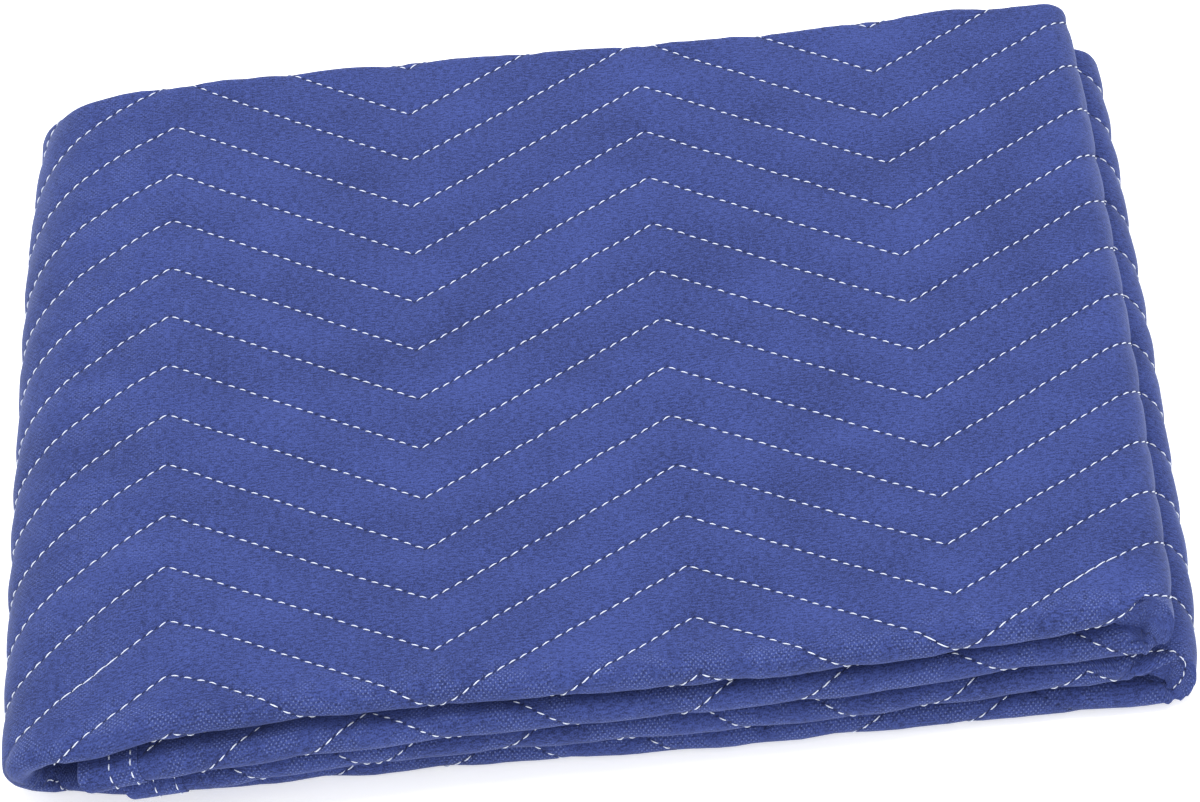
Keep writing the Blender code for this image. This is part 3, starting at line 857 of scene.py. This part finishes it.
def cloth_rows():
    """Places across the cloth for the outer face, and which of them the inner face takes too."""
    tapered = PRESSED_EDGE + EDGE_TAPER
    outer = spaced(
        (0, PRESSED_EDGE, EDGE_STEP),
        (PRESSED_EDGE, tapered, EDGE_TAPER),
        (tapered, FLAP_WIDTH, FLAP_STEP),
        (FLAP_WIDTH, PANEL_START, CORNER),
        (PANEL_START, NOSE_START - FRONT_ROWS, FINE),
        (NOSE_START - FRONT_ROWS, LAST_FLAP_START, CORNER),
        (LAST_FLAP_START, LAST_FLAP_START + UNDER_ROWS, UNDER_STEP),
        (LAST_FLAP_START + UNDER_ROWS, CLOTH_WIDTH - tapered, FLAP_STEP),
        (CLOTH_WIDTH - tapered, CLOTH_WIDTH - PRESSED_EDGE, EDGE_TAPER),
        (CLOTH_WIDTH - PRESSED_EDGE, CLOTH_WIDTH, EDGE_STEP),
    )
    inside = between(outer, PANEL_START + 1 * MM, NOSE_START - 1 * MM)
    keep = ~inside | (np.arange(len(outer)) % INNER_EVERY == 0)
    return outer, np.flatnonzero(keep)


print(len(cloth_columns()), "columns and", len(cloth_rows()[0]), "rows")


# %% Build the folded cloth
WORN_AND_LIT_FRONT = 14 * MM
# Where else the dots show, with their painted highlight: the path's place, over how much of it, and how
# much.
WORN_AND_LIT_PLACES = ((STARTS["left wrap"], 50 * MM, 0.5), (STARTS["A"], 22 * MM, 0.15))


def build_cloth():
    """Outer grid, inner grid, and the rim between them, as one closed sheet."""
    columns, (rows, shared) = cloth_columns(), cloth_rows()
    along, across = np.meshgrid(columns, rows, indexing="ij")
    lift = outer_lift(along, across)
    on_top = between(along, STARTS["A"], STARTS["left wrap"]) & between(across, PANEL_START, NOSE_START)
    lift += np.where(on_top, crease_lift(folded(along, across, lift), TOP_CREASES), 0)
    outer = folded(along, across, lift)
    inner_along, inner_across = along[:, shared], across[:, shared]
    inner = folded(inner_along, inner_across, inner_lift(inner_along, inner_across))
    points = np.concatenate([outer.reshape(-1, 3), inner.reshape(-1, 3)])
    points[:, 2] = np.maximum(points[:, 2], 0)
    both = ((along, across), (inner_along, inner_across))
    flat = np.concatenate([np.stack(quilt_place(*places), -1).reshape(-1, 2) for places in both])
    near = np.concatenate([np.stack(places, -1).reshape(-1, 2) for places in both])

    count, wide, narrow = len(columns), len(rows), len(shared)
    first_inner = count * wide
    faces = quads(0, count, wide).tolist() + quads(first_inner, count, narrow, flip=True).tolist()
    step = np.arange(count - 1)
    low, low_in = step * wide, first_inner + step * narrow
    high, high_in = low + wide - 1, low_in + narrow - 1
    faces += np.stack([low, low_in, low_in + narrow, low + wide], -1).tolist()
    faces += np.stack([high, high + wide, high_in + narrow, high_in], -1).tolist()
    last, last_in = (count - 1) * wide, first_inner + (count - 1) * narrow
    for number, (start, stop) in enumerate(zip(shared[:-1], shared[1:])):
        arc = list(range(start, stop + 1))
        faces.append(arc + [first_inner + number + 1, first_inner + number])
        faces.append([last + place for place in reversed(arc)] + [last_in + number, last_in + number + 1])

    # The dots show on the front folds and at the listed places: real bonding dots with a painted highlight.
    bend = near_front(near[:, 1], WORN_AND_LIT_FRONT) ** 1.5
    bend += sum(most * bell(near[:, 0], place, reach) for place, reach, most in WORN_AND_LIT_PLACES)
    return make_piece("cloth", points, faces, flat, {"bend": np.clip(bend, 0, 1)})


cloth = build_cloth()
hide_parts("blanket")

# %% [markdown]
# ## The binding
# A strip of thinner cloth is doubled over every raw edge.  Its section is a flat U with rounded corners,
# carried along the edge by the same folding function, and closed at both ends.

# %% Carry the binding's section along the four edges
OVERHANG = SEAT_GAP + BINDING_THICKNESS
BINDING_WAVE = 0.10 * MM
BINDING_WAVE_PITCH = 14 * MM
# Over how much binding beside the front fold the dots show with their painted highlight.
BINDING_WORN_AND_LIT = 60 * MM


def binding_profile():
    """(distance in from the edge, lift): out along one face, a half round over the edge, and back.

    The inside follows, as a plain U.
    """
    inside, outside = EDGE_HALF + SEAT_GAP, EDGE_HALF + SEAT_GAP + BINDING_THICKNESS
    round_angle = np.linspace(math.pi / 2, -math.pi / 2, 9)
    legs = np.linspace(BINDING_WIDTH, 2 * MM, 7)
    lip = [(BINDING_WIDTH + 0.25 * MM, outside - 0.3 * MM), (BINDING_WIDTH, outside)]
    outer = lip + [(place, outside) for place in legs[1:]]
    outer += [(-OVERHANG * math.cos(a), outside * math.sin(a)) for a in round_angle]
    outer += [(place, -outside) for place in legs[:0:-1]] + [(place, -lift) for place, lift in lip[::-1]]
    inner = [(BINDING_WIDTH, -inside), (-SEAT_GAP, -inside), (-SEAT_GAP, inside), (BINDING_WIDTH, inside)]
    return np.array(outer + inner)


def build_binding(name, stations, place, node):
    """The profile carried past every station.  place turns (station, distance in) into (along, across)."""
    profile = binding_profile()
    station, reach = np.meshgrid(stations, profile[:, 0], indexing="ij")
    lift = np.broadcast_to(profile[:, 1], station.shape)
    along, across = place(station, reach)
    wave = BINDING_WAVE * ripple(along, across, BINDING_WAVE_PITCH, seed=11)
    wave *= np.sign(lift) * (reach > 3 * MM)
    points = folded(along, across, lift + wave).reshape(-1, 3)
    points[:, 2] = np.maximum(points[:, 2], 0)
    flat = np.stack([along, across], -1).reshape(-1, 2)
    count, ring = len(stations), len(profile)
    index = np.arange(count * ring).reshape(count, ring)
    following = np.roll(index, -1, axis=1)
    faces = np.stack([index[:-1], index[1:], following[1:], following[:-1]], -1).reshape(-1, 4)
    turn = np.cross(points[ring] - points[0], points[1] - points[0])
    outward = folded(along[0, 0], across[0, 0], lift[0, 0] + MM) - points[0]
    if turn @ outward < 0:
        faces = faces[:, ::-1]
        ends = [index[0].tolist(), index[-1][::-1].tolist()]
    else:
        ends = [index[0][::-1].tolist(), index[-1].tolist()]
    bend = near_front(flat[:, 1], BINDING_WORN_AND_LIT)
    piece = make_piece(name, points, faces.tolist() + ends, flat, {"bend": bend})
    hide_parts(node)
    return piece


def build_bindings():
    """One binding round each short edge, and one along each long edge between them."""
    rows, _ = cloth_rows()
    keep = ~between(rows, PANEL_START + 1 * MM, NOSE_START - 1 * MM) | (np.arange(len(rows)) % 4 == 0)
    end_rows = np.concatenate([[-OVERHANG], rows[keep][1:-1], [CLOTH_WIDTH + OVERHANG]])
    side_start = BINDING_WIDTH + SEAT_GAP + 0.3 * MM
    columns = cloth_columns()
    columns = columns[between(columns, side_start, CLOTH_LENGTH - side_start)][::2]
    side_columns = np.concatenate([[side_start], columns, [CLOTH_LENGTH - side_start]])
    edges = (
        ("upper_end", end_rows, lambda station, inward: (inward, station)),
        ("lower_end", end_rows, lambda station, inward: (CLOTH_LENGTH - inward, station)),
        ("front_side", side_columns, lambda station, inward: (station, inward)),
        ("back_side", side_columns, lambda station, inward: (station, CLOTH_WIDTH - inward)),
    )
    return [build_binding(f"binding_cloth_{edge}", *row, f"binding_{edge}") for edge, *row in edges]


bindings = build_bindings()

# %% [markdown]
# ## Thread
# A stitch is a short piece of thread that comes up, lies on the cloth and goes down again.  All stitches
# of one kind are one mesh, made from arrays: five rings on a bowed line, each ring a hexagon square to the
# line.  Their places come from the quilting's own formula, so the thread lies in the grooves.

# %% Make stitches from arrays
RING_SIDES = 6
THREAD_TAPER = (0.3, 0.85, 1.1, 0.85, 0.3)  # radius of each ring, as a share
BOW = (-0.6, 0.6, 1.0, 0.6, -0.6)  # rise of each ring, as a share
RINGS = len(BOW)
THREAD_RADIUS = 0.27 * MM
THREAD_RISE = (0.20 * MM, 0.36 * MM)  # least and most
OFF_GROUND = 0.1 * MM


def thread_mesh(name, along, across, rise):
    """Tubes from (stitches, rings) places on the flat cloth and each place's rise over the outer face.

    A ring is the centre plus radius times (cos a side + sin a up), where up is the way the cloth faces and
    side is square to it and to the thread.
    """
    base = outer_lift(along, across)
    centre = folded(along, across, base + rise)
    up = folded(along, across, base + rise + 0.1 * MM) - centre
    up /= np.linalg.norm(up, axis=-1, keepdims=True)
    run = np.gradient(centre, axis=1)
    side = np.cross(run, up)
    side /= np.linalg.norm(side, axis=-1, keepdims=True)
    turn = np.arange(RING_SIDES) * 2 * math.pi / RING_SIDES
    thin = THREAD_RADIUS * np.array(THREAD_TAPER)[None, :, None, None]
    ring = side[:, :, None] * np.cos(turn)[:, None] + up[:, :, None] * np.sin(turn)[:, None]
    points = centre[:, :, None] + thin * ring
    count = len(points)
    index = np.arange(count * RINGS * RING_SIDES).reshape(count, RINGS, RING_SIDES)
    following = np.roll(index, -1, axis=2)
    faces = np.stack([index[:, :-1], index[:, 1:], following[:, 1:], following[:, :-1]], -1)
    faces = faces.reshape(-1, 4)
    caps = np.concatenate([index[:, 0], index[:, -1, ::-1]])
    length = np.linspace(0, 1, RINGS)[None, :, None] + np.arange(count)[:, None, None]
    flat = np.stack(np.broadcast_arrays(length, turn[None, None, :] / (2 * math.pi)), -1).reshape(-1, 2)
    points = points.reshape(-1, 3)
    points[:, 2] = np.maximum(points[:, 2], OFF_GROUND)
    return make_piece(name, points, faces.tolist() + caps.tolist(), flat)


def bowed(count, seed):
    """Rise of each ring: under the cloth at both ends, and on it between them, different each time."""
    draw = np.random.default_rng(seed)
    return np.array(BOW)[None] * draw.uniform(*THREAD_RISE, (count, 1))


print(RINGS, "rings to a stitch")

# %% Zigzag stitches
STITCHES_PER_HALF = 22
STITCH_PITCH = ZIGZAG_PERIOD / 2 / STITCHES_PER_HALF
STITCH_HALF = (0.33, 0.375)  # half a stitch's length, least and most, as shares of the pitch
STITCH_STRAY = 0.03
STITCH_SLANT = 0.22 * MM  # how far a stitch's ends lie to either side of the line
LINE_NUMBERS = np.arange(-16, 26)
# Where the stitches join up without gaps: line, and from where to where on the machine.
JOINED_STITCHES = (
    (10, 462 * MM, 484 * MM),
    (10, 529 * MM, 537 * MM),
    (10, 846 * MM, 868 * MM),
)
JOINED_HALF = 0.56


def stitched(along, across):
    """Whether a place is inside the binding, and on the open faces or near a fold of the closed ones."""
    inside = between(along, PRESSED_EDGE, CLOTH_LENGTH - PRESSED_EDGE)
    panel = between(across, FLAP_WIDTH - 2 * MM, LAST_FLAP_START + 12 * MM)
    open_face = between(along, STARTS["upper turn"] - 20 * MM, STARTS["D"] + 6 * MM)
    open_face |= between(along, STARTS["lower turn"] - 6 * MM, STARTS["C"] + 20 * MM)
    near_fold = (across < PANEL_START + 8 * MM) | (across > NOSE_START - 16 * MM)
    return inside & panel & (open_face | near_fold)


def sunk(along, across):
    """Whether a place lies in an ear's pocket, a crease of the front folds or the crumpled corner."""
    pocket = between(along, STARTS["upper turn"] - 2 * MM, STARTS["upper turn"] + TURN_LENGTH / 2)
    creased = between(along, STARTS["C"] + 1 * MM, STARTS["C"] + 20 * MM)
    creased |= between(along, STARTS["lower turn"] - 58 * MM, STARTS["lower turn"] + 3 * MM)
    wrapped = between(along, STARTS["left wrap"] + 0.25 * LENGTHS["left wrap"], STARTS["D"] - 22 * MM)
    in_fold = (across > NOSE_START + 3 * MM) & (pocket | creased)
    return in_fold | ((across > NOSE_START - 4 * MM) & wrapped)


def quilting_places():
    """Middle of every stitch that can be seen: (run, line number)."""
    first = math.floor(-PEAK_ALONG / STITCH_PITCH)
    step = np.arange(first, math.ceil((CLOTH_LENGTH - PEAK_ALONG) / STITCH_PITCH))
    run, line = np.meshgrid(PEAK_ALONG + (step + 0.5) * STITCH_PITCH, LINE_NUMBERS, indexing="ij")
    along, across = cloth_place(run, PEAK_ACROSS + line * QUILT_SPACING + zigzag(run))
    keep = stitched(along, across) & ~sunk(along, across)
    return run[keep], line[keep]


def build_quilting():
    """Zigzag stitches: each lies along its line, with a length that differs a little."""
    middle, line = quilting_places()
    draw = np.random.default_rng(17)
    half = draw.uniform(*STITCH_HALF, len(middle)) * STITCH_PITCH
    shift = draw.normal(0, STITCH_STRAY, len(middle)) * STITCH_PITCH
    for number, start, stop in JOINED_STITCHES:
        half = np.where((line == number) & between(middle, start, stop), JOINED_HALF * STITCH_PITCH, half)
    share = np.linspace(-1, 1, RINGS)[None]
    run = (middle + shift)[:, None] + half[:, None] * share
    rise = PEAK_ACROSS + line[:, None] * QUILT_SPACING + zigzag(run) + STITCH_SLANT * share
    along, across = cloth_place(run, rise)
    ends = folded(along[:, [0, -1]], across[:, [0, -1]], CLOTH_HALF)
    length = np.linalg.norm(ends[:, 1] - ends[:, 0], axis=-1)
    even = length < 3 * half / math.cos(ZIGZAG_TURN)  # one over a sharp step would hang in the air
    return thread_mesh("quilting_thread", along[even], across[even], bowed(int(even.sum()), seed=18))


quilting = build_quilting()

# %% Stitches on the binding of the short edges
BINDING_PITCH = 4.0 * MM
BINDING_ROWS = (12.0 * MM, 20.5 * MM)  # in from the edge
BINDING_STITCH_HALF = 0.32  # as a share of the pitch


def build_binding_rows():
    """Two rows of stitches on each short edge's binding, along the edge."""
    middle = np.arange(NOSE_START - 30 * MM, LAST_FLAP_START + 20 * MM, BINDING_PITCH)
    half = BINDING_STITCH_HALF * BINDING_PITCH
    along, across = [], []
    for row in BINDING_ROWS:
        for edge in (row, CLOTH_LENGTH - row):
            across.append(middle[:, None] + half * np.linspace(-1, 1, RINGS)[None])
            along.append(np.full_like(across[-1], edge))
    along, across = np.concatenate(along), np.concatenate(across)
    return thread_mesh("binding_thread", along, across, OVERHANG + bowed(len(along), seed=21))


binding_rows = build_binding_rows()

# %% [markdown]
# ## Finishes
# The cloth is a bonded felt.  Close up it has three things: a short lying pile that makes fine streaks, a
# lattice of small bonding dots that shows where the pile is rubbed thin or bent open, painted lighter there
# as a highlight, and a slow, random change of tone.
# All three read the flat cloth's UV, so they turn with the fold.  The quilting's own formula is repeated in
# nodes, so that the cloth dips right at the thread and darkens there with painted shade, deepest in the
# needle holes.

# %% Node helpers
SPECULAR = 0.2
SHEEN_ROUGHNESS = 0.45
NOISE_ROUGHNESS = 0.6


def new_material(name, roughness, sheen=0.0):
    """A Principled material with its constant values on the shader's own sockets."""
    material = bpy.data.materials.new(name)
    material.use_nodes = True
    tree = material.node_tree
    shader = tree.nodes["Principled BSDF"]
    shader.inputs["Roughness"].default_value = roughness
    shader.inputs["Specular IOR Level"].default_value = SPECULAR
    shader.inputs["Sheen Weight"].default_value = sheen
    shader.inputs["Sheen Roughness"].default_value = SHEEN_ROUGHNESS
    return material, tree, shader


def connect(tree, socket, value):
    """Put a number into a socket, or link another socket to it."""
    if isinstance(value, (int, float)):
        socket.default_value = value
    else:
        tree.links.new(value, socket)


def calc(tree, operation, *values):
    """A Math node on numbers or sockets, and its result."""
    node = tree.nodes.new("ShaderNodeMath")
    node.operation = operation
    for socket, value in zip(node.inputs, values):
        connect(tree, socket, value)
    return node.outputs[0]


def arithmetic(tree):
    """Adding, subtracting and multiplying in one tree, as three short functions."""
    return [partial(calc, tree, operation) for operation in ("ADD", "SUBTRACT", "MULTIPLY")]


def ramp(tree, value, low, high, to_low=0.0, to_high=1.0):
    """A smooth step from one range to another."""
    node = tree.nodes.new("ShaderNodeMapRange")
    node.interpolation_type = "SMOOTHSTEP"
    for socket, number in zip(list(node.inputs)[1:5], (low, high, to_low, to_high)):
        socket.default_value = number
    tree.links.new(value, node.inputs["Value"])
    return node.outputs["Result"]


def uv_place(tree):
    """The flat cloth's two coordinates as sockets, and the UV itself."""
    uv = tree.nodes.new("ShaderNodeUVMap")
    uv.uv_map = "cloth"
    parts = tree.nodes.new("ShaderNodeSeparateXYZ")
    tree.links.new(uv.outputs[0], parts.inputs[0])
    return uv.outputs[0], parts.outputs[0], parts.outputs[1]


def noise(tree, vector, stretch, detail):
    """Noise on the flat cloth, with this many waves to a metre along and across."""
    mapping = tree.nodes.new("ShaderNodeMapping")
    mapping.inputs["Scale"].default_value = (*stretch, 1)
    tree.links.new(vector, mapping.inputs["Vector"])
    node = tree.nodes.new("ShaderNodeTexNoise")
    node.inputs["Scale"].default_value = 1.0
    node.inputs["Detail"].default_value = detail
    node.inputs["Roughness"].default_value = NOISE_ROUGHNESS
    tree.links.new(mapping.outputs[0], node.inputs["Vector"])
    return node.outputs["Fac"]


def mix_colour(tree, share, first, second):
    """Mix two colours, given as sockets or as triples."""
    node = tree.nodes.new("ShaderNodeMix")
    node.data_type = "RGBA"
    for socket, value in zip((node.inputs[0], node.inputs[6], node.inputs[7]), (share, first, second)):
        if isinstance(value, tuple):
            socket.default_value = (*value, 1)
        else:
            connect(tree, socket, value)
    return node.outputs[2]


def close_shader(tree, shader, colour, height, strength, distance):
    """Give the shader its colour, and tilt its normal by a height."""
    bump = tree.nodes.new("ShaderNodeBump")
    bump.inputs["Strength"].default_value = strength
    bump.inputs["Distance"].default_value = distance
    tree.links.new(height, bump.inputs["Height"])
    tree.links.new(bump.outputs[0], shader.inputs["Normal"])
    tree.links.new(colour, shader.inputs["Base Color"])


print("node helpers ready")

# %% [markdown]
# ### The bonded felt
# The distance to the nearest quilting line is a ping-pong wave for the zigzag and a saw wave for the
# spacing.  Dots are the product of two cosines turned by 45 degrees, bright only at lattice points.

# %% Quilting lines and bonding dots in nodes
DOT_PITCH = 1.35 * MM
DOT_RANGE = (1.6, 3.4)  # of the product, from no dot to a full one


def quilting_nodes(tree, along, across):
    """Signed distances in metres: to the nearest line, and to the nearest gap between stitches."""
    _, minus, times = arithmetic(tree)
    run = minus(along, PEAK_ALONG)
    swing = times(calc(tree, "PINGPONG", run, ZIGZAG_PERIOD / 2), math.tan(ZIGZAG_TURN))
    drop = minus(minus(across, PEAK_ACROSS), swing)
    side = calc(tree, "WRAP", drop, QUILT_SPACING / 2, -QUILT_SPACING / 2)
    gap = calc(tree, "WRAP", run, STITCH_PITCH / 2, -STITCH_PITCH / 2)
    return times(side, math.cos(ZIGZAG_TURN)), gap


def dot_nodes(tree, along, across):
    """Bonding dots: 1 at the points of a lattice turned by 45 degrees, and 0 between them."""
    plus, minus, times = arithmetic(tree)
    turn = 2 * math.pi / (math.sqrt(2) * DOT_PITCH)
    rising = calc(tree, "COSINE", times(plus(along, across), turn))
    falling = calc(tree, "COSINE", times(minus(along, across), turn))
    return ramp(tree, times(plus(rising, 1.0), plus(falling, 1.0)), *DOT_RANGE)


print(f"a dot every {DOT_PITCH / MM:.2f} mm")

# %% Felt
FELT_DARK = (0.0135, 0.0205, 0.080)
FELT_LIGHT = (0.0435, 0.0665, 0.243)
# The dots' colour is a painted highlight: lighter than the felt, as if light catches their smooth tops.
DOT_HIGHLIGHT_COLOUR = (0.150, 0.195, 0.42)
# Painted shade in the needle holes, nearly black.
HOLE_SHADE_COLOUR = (0.004, 0.006, 0.03)
SHEEN_TINT = (0.55, 0.65, 1.0, 1)
STREAK, SPECK, SLOW, PATCH = (380, 1350), (1500, 2000), (22, 30), (75, 95)  # waves to a metre
PILE_SHARE = 0.87  # of the shade, and the rest is the slow change
SHADE_RANGE, PATCH_RANGE = (0.39, 0.61), (0.42, 0.60)
GROOVE_REACH = 2.4 * MM
HOLE_ALONG, HOLE_ASIDE = (0.3 * MM, 1.1 * MM), (0.1 * MM, 0.65 * MM)
DOT_HIGHLIGHT_STRENGTH, GROOVE_SHADE_STRENGTH, HOLE_SHADE_STRENGTH = 0.55, 0.22, 0.7
PILE_HEIGHT, DOT_HEIGHT, GROOVE_DEPTH, HOLE_DEPTH = 0.55, 0.30, 0.9, 0.8


def felt(name, dots_everywhere, quilted):
    """The blanket's cloth: streaked pile, painted highlight on dots where bent or rubbed, slow tone, painted
    shade on sunk lines.
    """
    material, tree, shader = new_material(name, roughness=0.92, sheen=0.16)
    shader.inputs["Sheen Tint"].default_value = SHEEN_TINT
    plus, minus, times = arithmetic(tree)
    uv, along, across = uv_place(tree)
    streak = noise(tree, uv, STREAK, detail=4)
    speck = noise(tree, uv, SPECK, detail=2)
    slow = noise(tree, uv, SLOW, detail=3)
    patch = noise(tree, uv, PATCH, detail=2)
    pile = plus(times(streak, 0.5), times(speck, 0.5))
    shade = plus(times(pile, PILE_SHARE), times(slow, 1 - PILE_SHARE))
    colour = mix_colour(tree, ramp(tree, shade, *SHADE_RANGE), FELT_DARK, FELT_LIGHT)

    bend = tree.nodes.new("ShaderNodeAttribute")
    bend.attribute_name = "bend"
    # Where the dots show: on the bends and where the pile is rubbed, with a painted highlight.
    worn_and_lit = plus(times(bend.outputs["Fac"], 1.0 - dots_everywhere), dots_everywhere)
    seen = times(worn_and_lit, ramp(tree, patch, *PATCH_RANGE))
    dots = times(dot_nodes(tree, along, across), seen)
    # Painted highlight: the dots lighter than the felt around them.
    colour = mix_colour(tree, times(dots, DOT_HIGHLIGHT_STRENGTH), colour, DOT_HIGHLIGHT_COLOUR)
    height = plus(times(pile, PILE_HEIGHT), times(dots, DOT_HEIGHT))
    if quilted:
        side, gap = quilting_nodes(tree, along, across)
        groove = ramp(tree, calc(tree, "ABSOLUTE", side), 0.0, GROOVE_REACH, 1.0, 0.0)
        aside = calc(tree, "ABSOLUTE", minus(side, times(gap, 0.5)))
        reach = ramp(tree, calc(tree, "ABSOLUTE", gap), *HOLE_ALONG, 1.0, 0.0)
        hole = times(reach, ramp(tree, aside, *HOLE_ASIDE, 1.0, 0.0))
        # Painted shade: the felt darker along each quilting line's groove.
        colour = mix_colour(tree, times(groove, GROOVE_SHADE_STRENGTH), colour, FELT_DARK)
        # Painted shade: the needle holes between stitches nearly black.
        colour = mix_colour(tree, times(hole, HOLE_SHADE_STRENGTH), colour, HOLE_SHADE_COLOUR)
        height = minus(minus(height, times(groove, GROOVE_DEPTH)), times(hole, HOLE_DEPTH))
    close_shader(tree, shader, colour, height, strength=0.9, distance=0.35 * MM)
    return material


felt_cloth = felt("blue_felt", dots_everywhere=0.03, quilted=True)
felt_binding = felt("blue_binding", dots_everywhere=0.65, quilted=False)
cloth.data.materials.append(felt_cloth)
for binding in bindings:
    binding.data.materials.append(felt_binding)
print("felt on", 1 + len(bindings), "pieces")

# %% [markdown]
# ### Thread
# The thread is a pale twisted yarn.  A slanted wave on its own UV gives the twist, as a bump and as painted
# shade in its grooves.

# %% Yarn
# Shaded and lit tones of the one pale yarn: painted shade on the twist.
YARN_SHADED, YARN_LIT = (0.50, 0.55, 0.70), (0.72, 0.76, 0.86)
TWISTS = 7.0  # to a stitch


def yarn():
    """Pale thread with a fine slanting twist, painted darker as shade in the twist's grooves."""
    material, tree, shader = new_material("pale_yarn", roughness=0.6, sheen=0.2)
    plus, _, times = arithmetic(tree)
    _, length, turn = uv_place(tree)
    wave = calc(tree, "SINE", times(plus(times(length, TWISTS), turn), 2 * math.pi))
    share = calc(tree, "MULTIPLY_ADD", wave, 0.5, 0.5)
    # Painted shade: the yarn darker where the twist's bump is low.
    colour = mix_colour(tree, share, YARN_SHADED, YARN_LIT)
    close_shader(tree, shader, colour, share, strength=0.5, distance=0.1 * MM)
    return material


pale_yarn = yarn()
for thread in (quilting, binding_rows):
    thread.data.materials.append(pale_yarn)
print("yarn on", quilting.name, "and", binding_rows.name)

# %% [markdown]
# ## Stage, light and camera
# A pale floor, a wide soft light overhead, a weaker one in front and a bright even world give the
# shadowless look of a catalogue picture.  The camera stands in front and looks down at about 52 degrees
# through a long lens.

# %% Floor and lights
FLOOR_SIZE = 14
FLOOR_DROP = 0.4 * MM
FLOOR_GLOW = 0.38
LIGHTS = (("overhead", (0.0, 0.6, 2.4), 1.6, 58), ("front", (0.5, -2.2, 1.3), 1.5, 13))  # size, watts


def build_floor():
    """A pale square under the blanket."""
    bpy.ops.mesh.primitive_plane_add(size=FLOOR_SIZE, location=(0, 0, -FLOOR_DROP))
    floor = bpy.context.object
    floor.name = "floor"
    material, _, shader = new_material("pale_floor", roughness=0.9)
    shader.inputs["Base Color"].default_value = (0.9, 0.9, 0.9, 1)
    shader.inputs["Emission Color"].default_value = (1, 1, 1, 1)
    shader.inputs["Emission Strength"].default_value = FLOOR_GLOW
    floor.data.materials.append(material)


def area_light(name, place, size, power):
    """A square soft light that faces the origin."""
    data = bpy.data.lights.new(name, "AREA")
    data.shape = "SQUARE"
    data.size = size
    data.energy = power
    light = bpy.data.objects.new(name, data)
    light.location = place
    light.rotation_euler = (Vector((0, 0, 0)) - Vector(place)).to_track_quat("-Z", "Y").to_euler()
    bpy.context.scene.collection.objects.link(light)


build_floor()
for row in LIGHTS:
    area_light(*row)
print("lights:", [row[0] for row in LIGHTS])

# %% World
world = bpy.data.worlds.new("soft_white")
world.use_nodes = True
world.node_tree.nodes["Background"].inputs["Color"].default_value = (1, 1, 1, 1)
world.node_tree.nodes["Background"].inputs["Strength"].default_value = 1.0
bpy.context.scene.world = world
bpy.context.scene.view_settings.view_transform = "Standard"

# %% Camera
CAMERA_PLACE = (0.0369, -1.0814, 1.3916)
CAMERA_AZIMUTH = 1.57  # degrees, positive when it looks towards -X
CAMERA_DOWN = 51.75
CAMERA_ROLL = 6.68
LENS = 126.5
SENSOR = 36


def build_camera():
    """A camera from its place and three angles: forward first, then right turned about it by the roll.

    Up is right crossed with forward.
    """
    azimuth, down, roll = (math.radians(a) for a in (CAMERA_AZIMUTH, CAMERA_DOWN, CAMERA_ROLL))
    level_part, drop = math.cos(down), math.sin(down)
    forward = Vector((-math.sin(azimuth) * level_part, math.cos(azimuth) * level_part, -drop))
    level = forward.cross(Vector((0, 0, 1))).normalized()
    right = Matrix.Rotation(roll, 3, forward) @ level
    up = right.cross(forward)
    data = bpy.data.cameras.new("camera")
    data.lens = LENS
    data.sensor_width = SENSOR
    camera = bpy.data.objects.new("camera", data)
    turned = Matrix((right, up, -forward)).transposed().to_4x4()
    camera.matrix_world = Matrix.Translation(CAMERA_PLACE) @ turned
    bpy.context.scene.collection.objects.link(camera)
    bpy.context.scene.camera = camera
    print("camera right", [round(x, 4) for x in right], "up", [round(x, 4) for x in up])


build_camera()
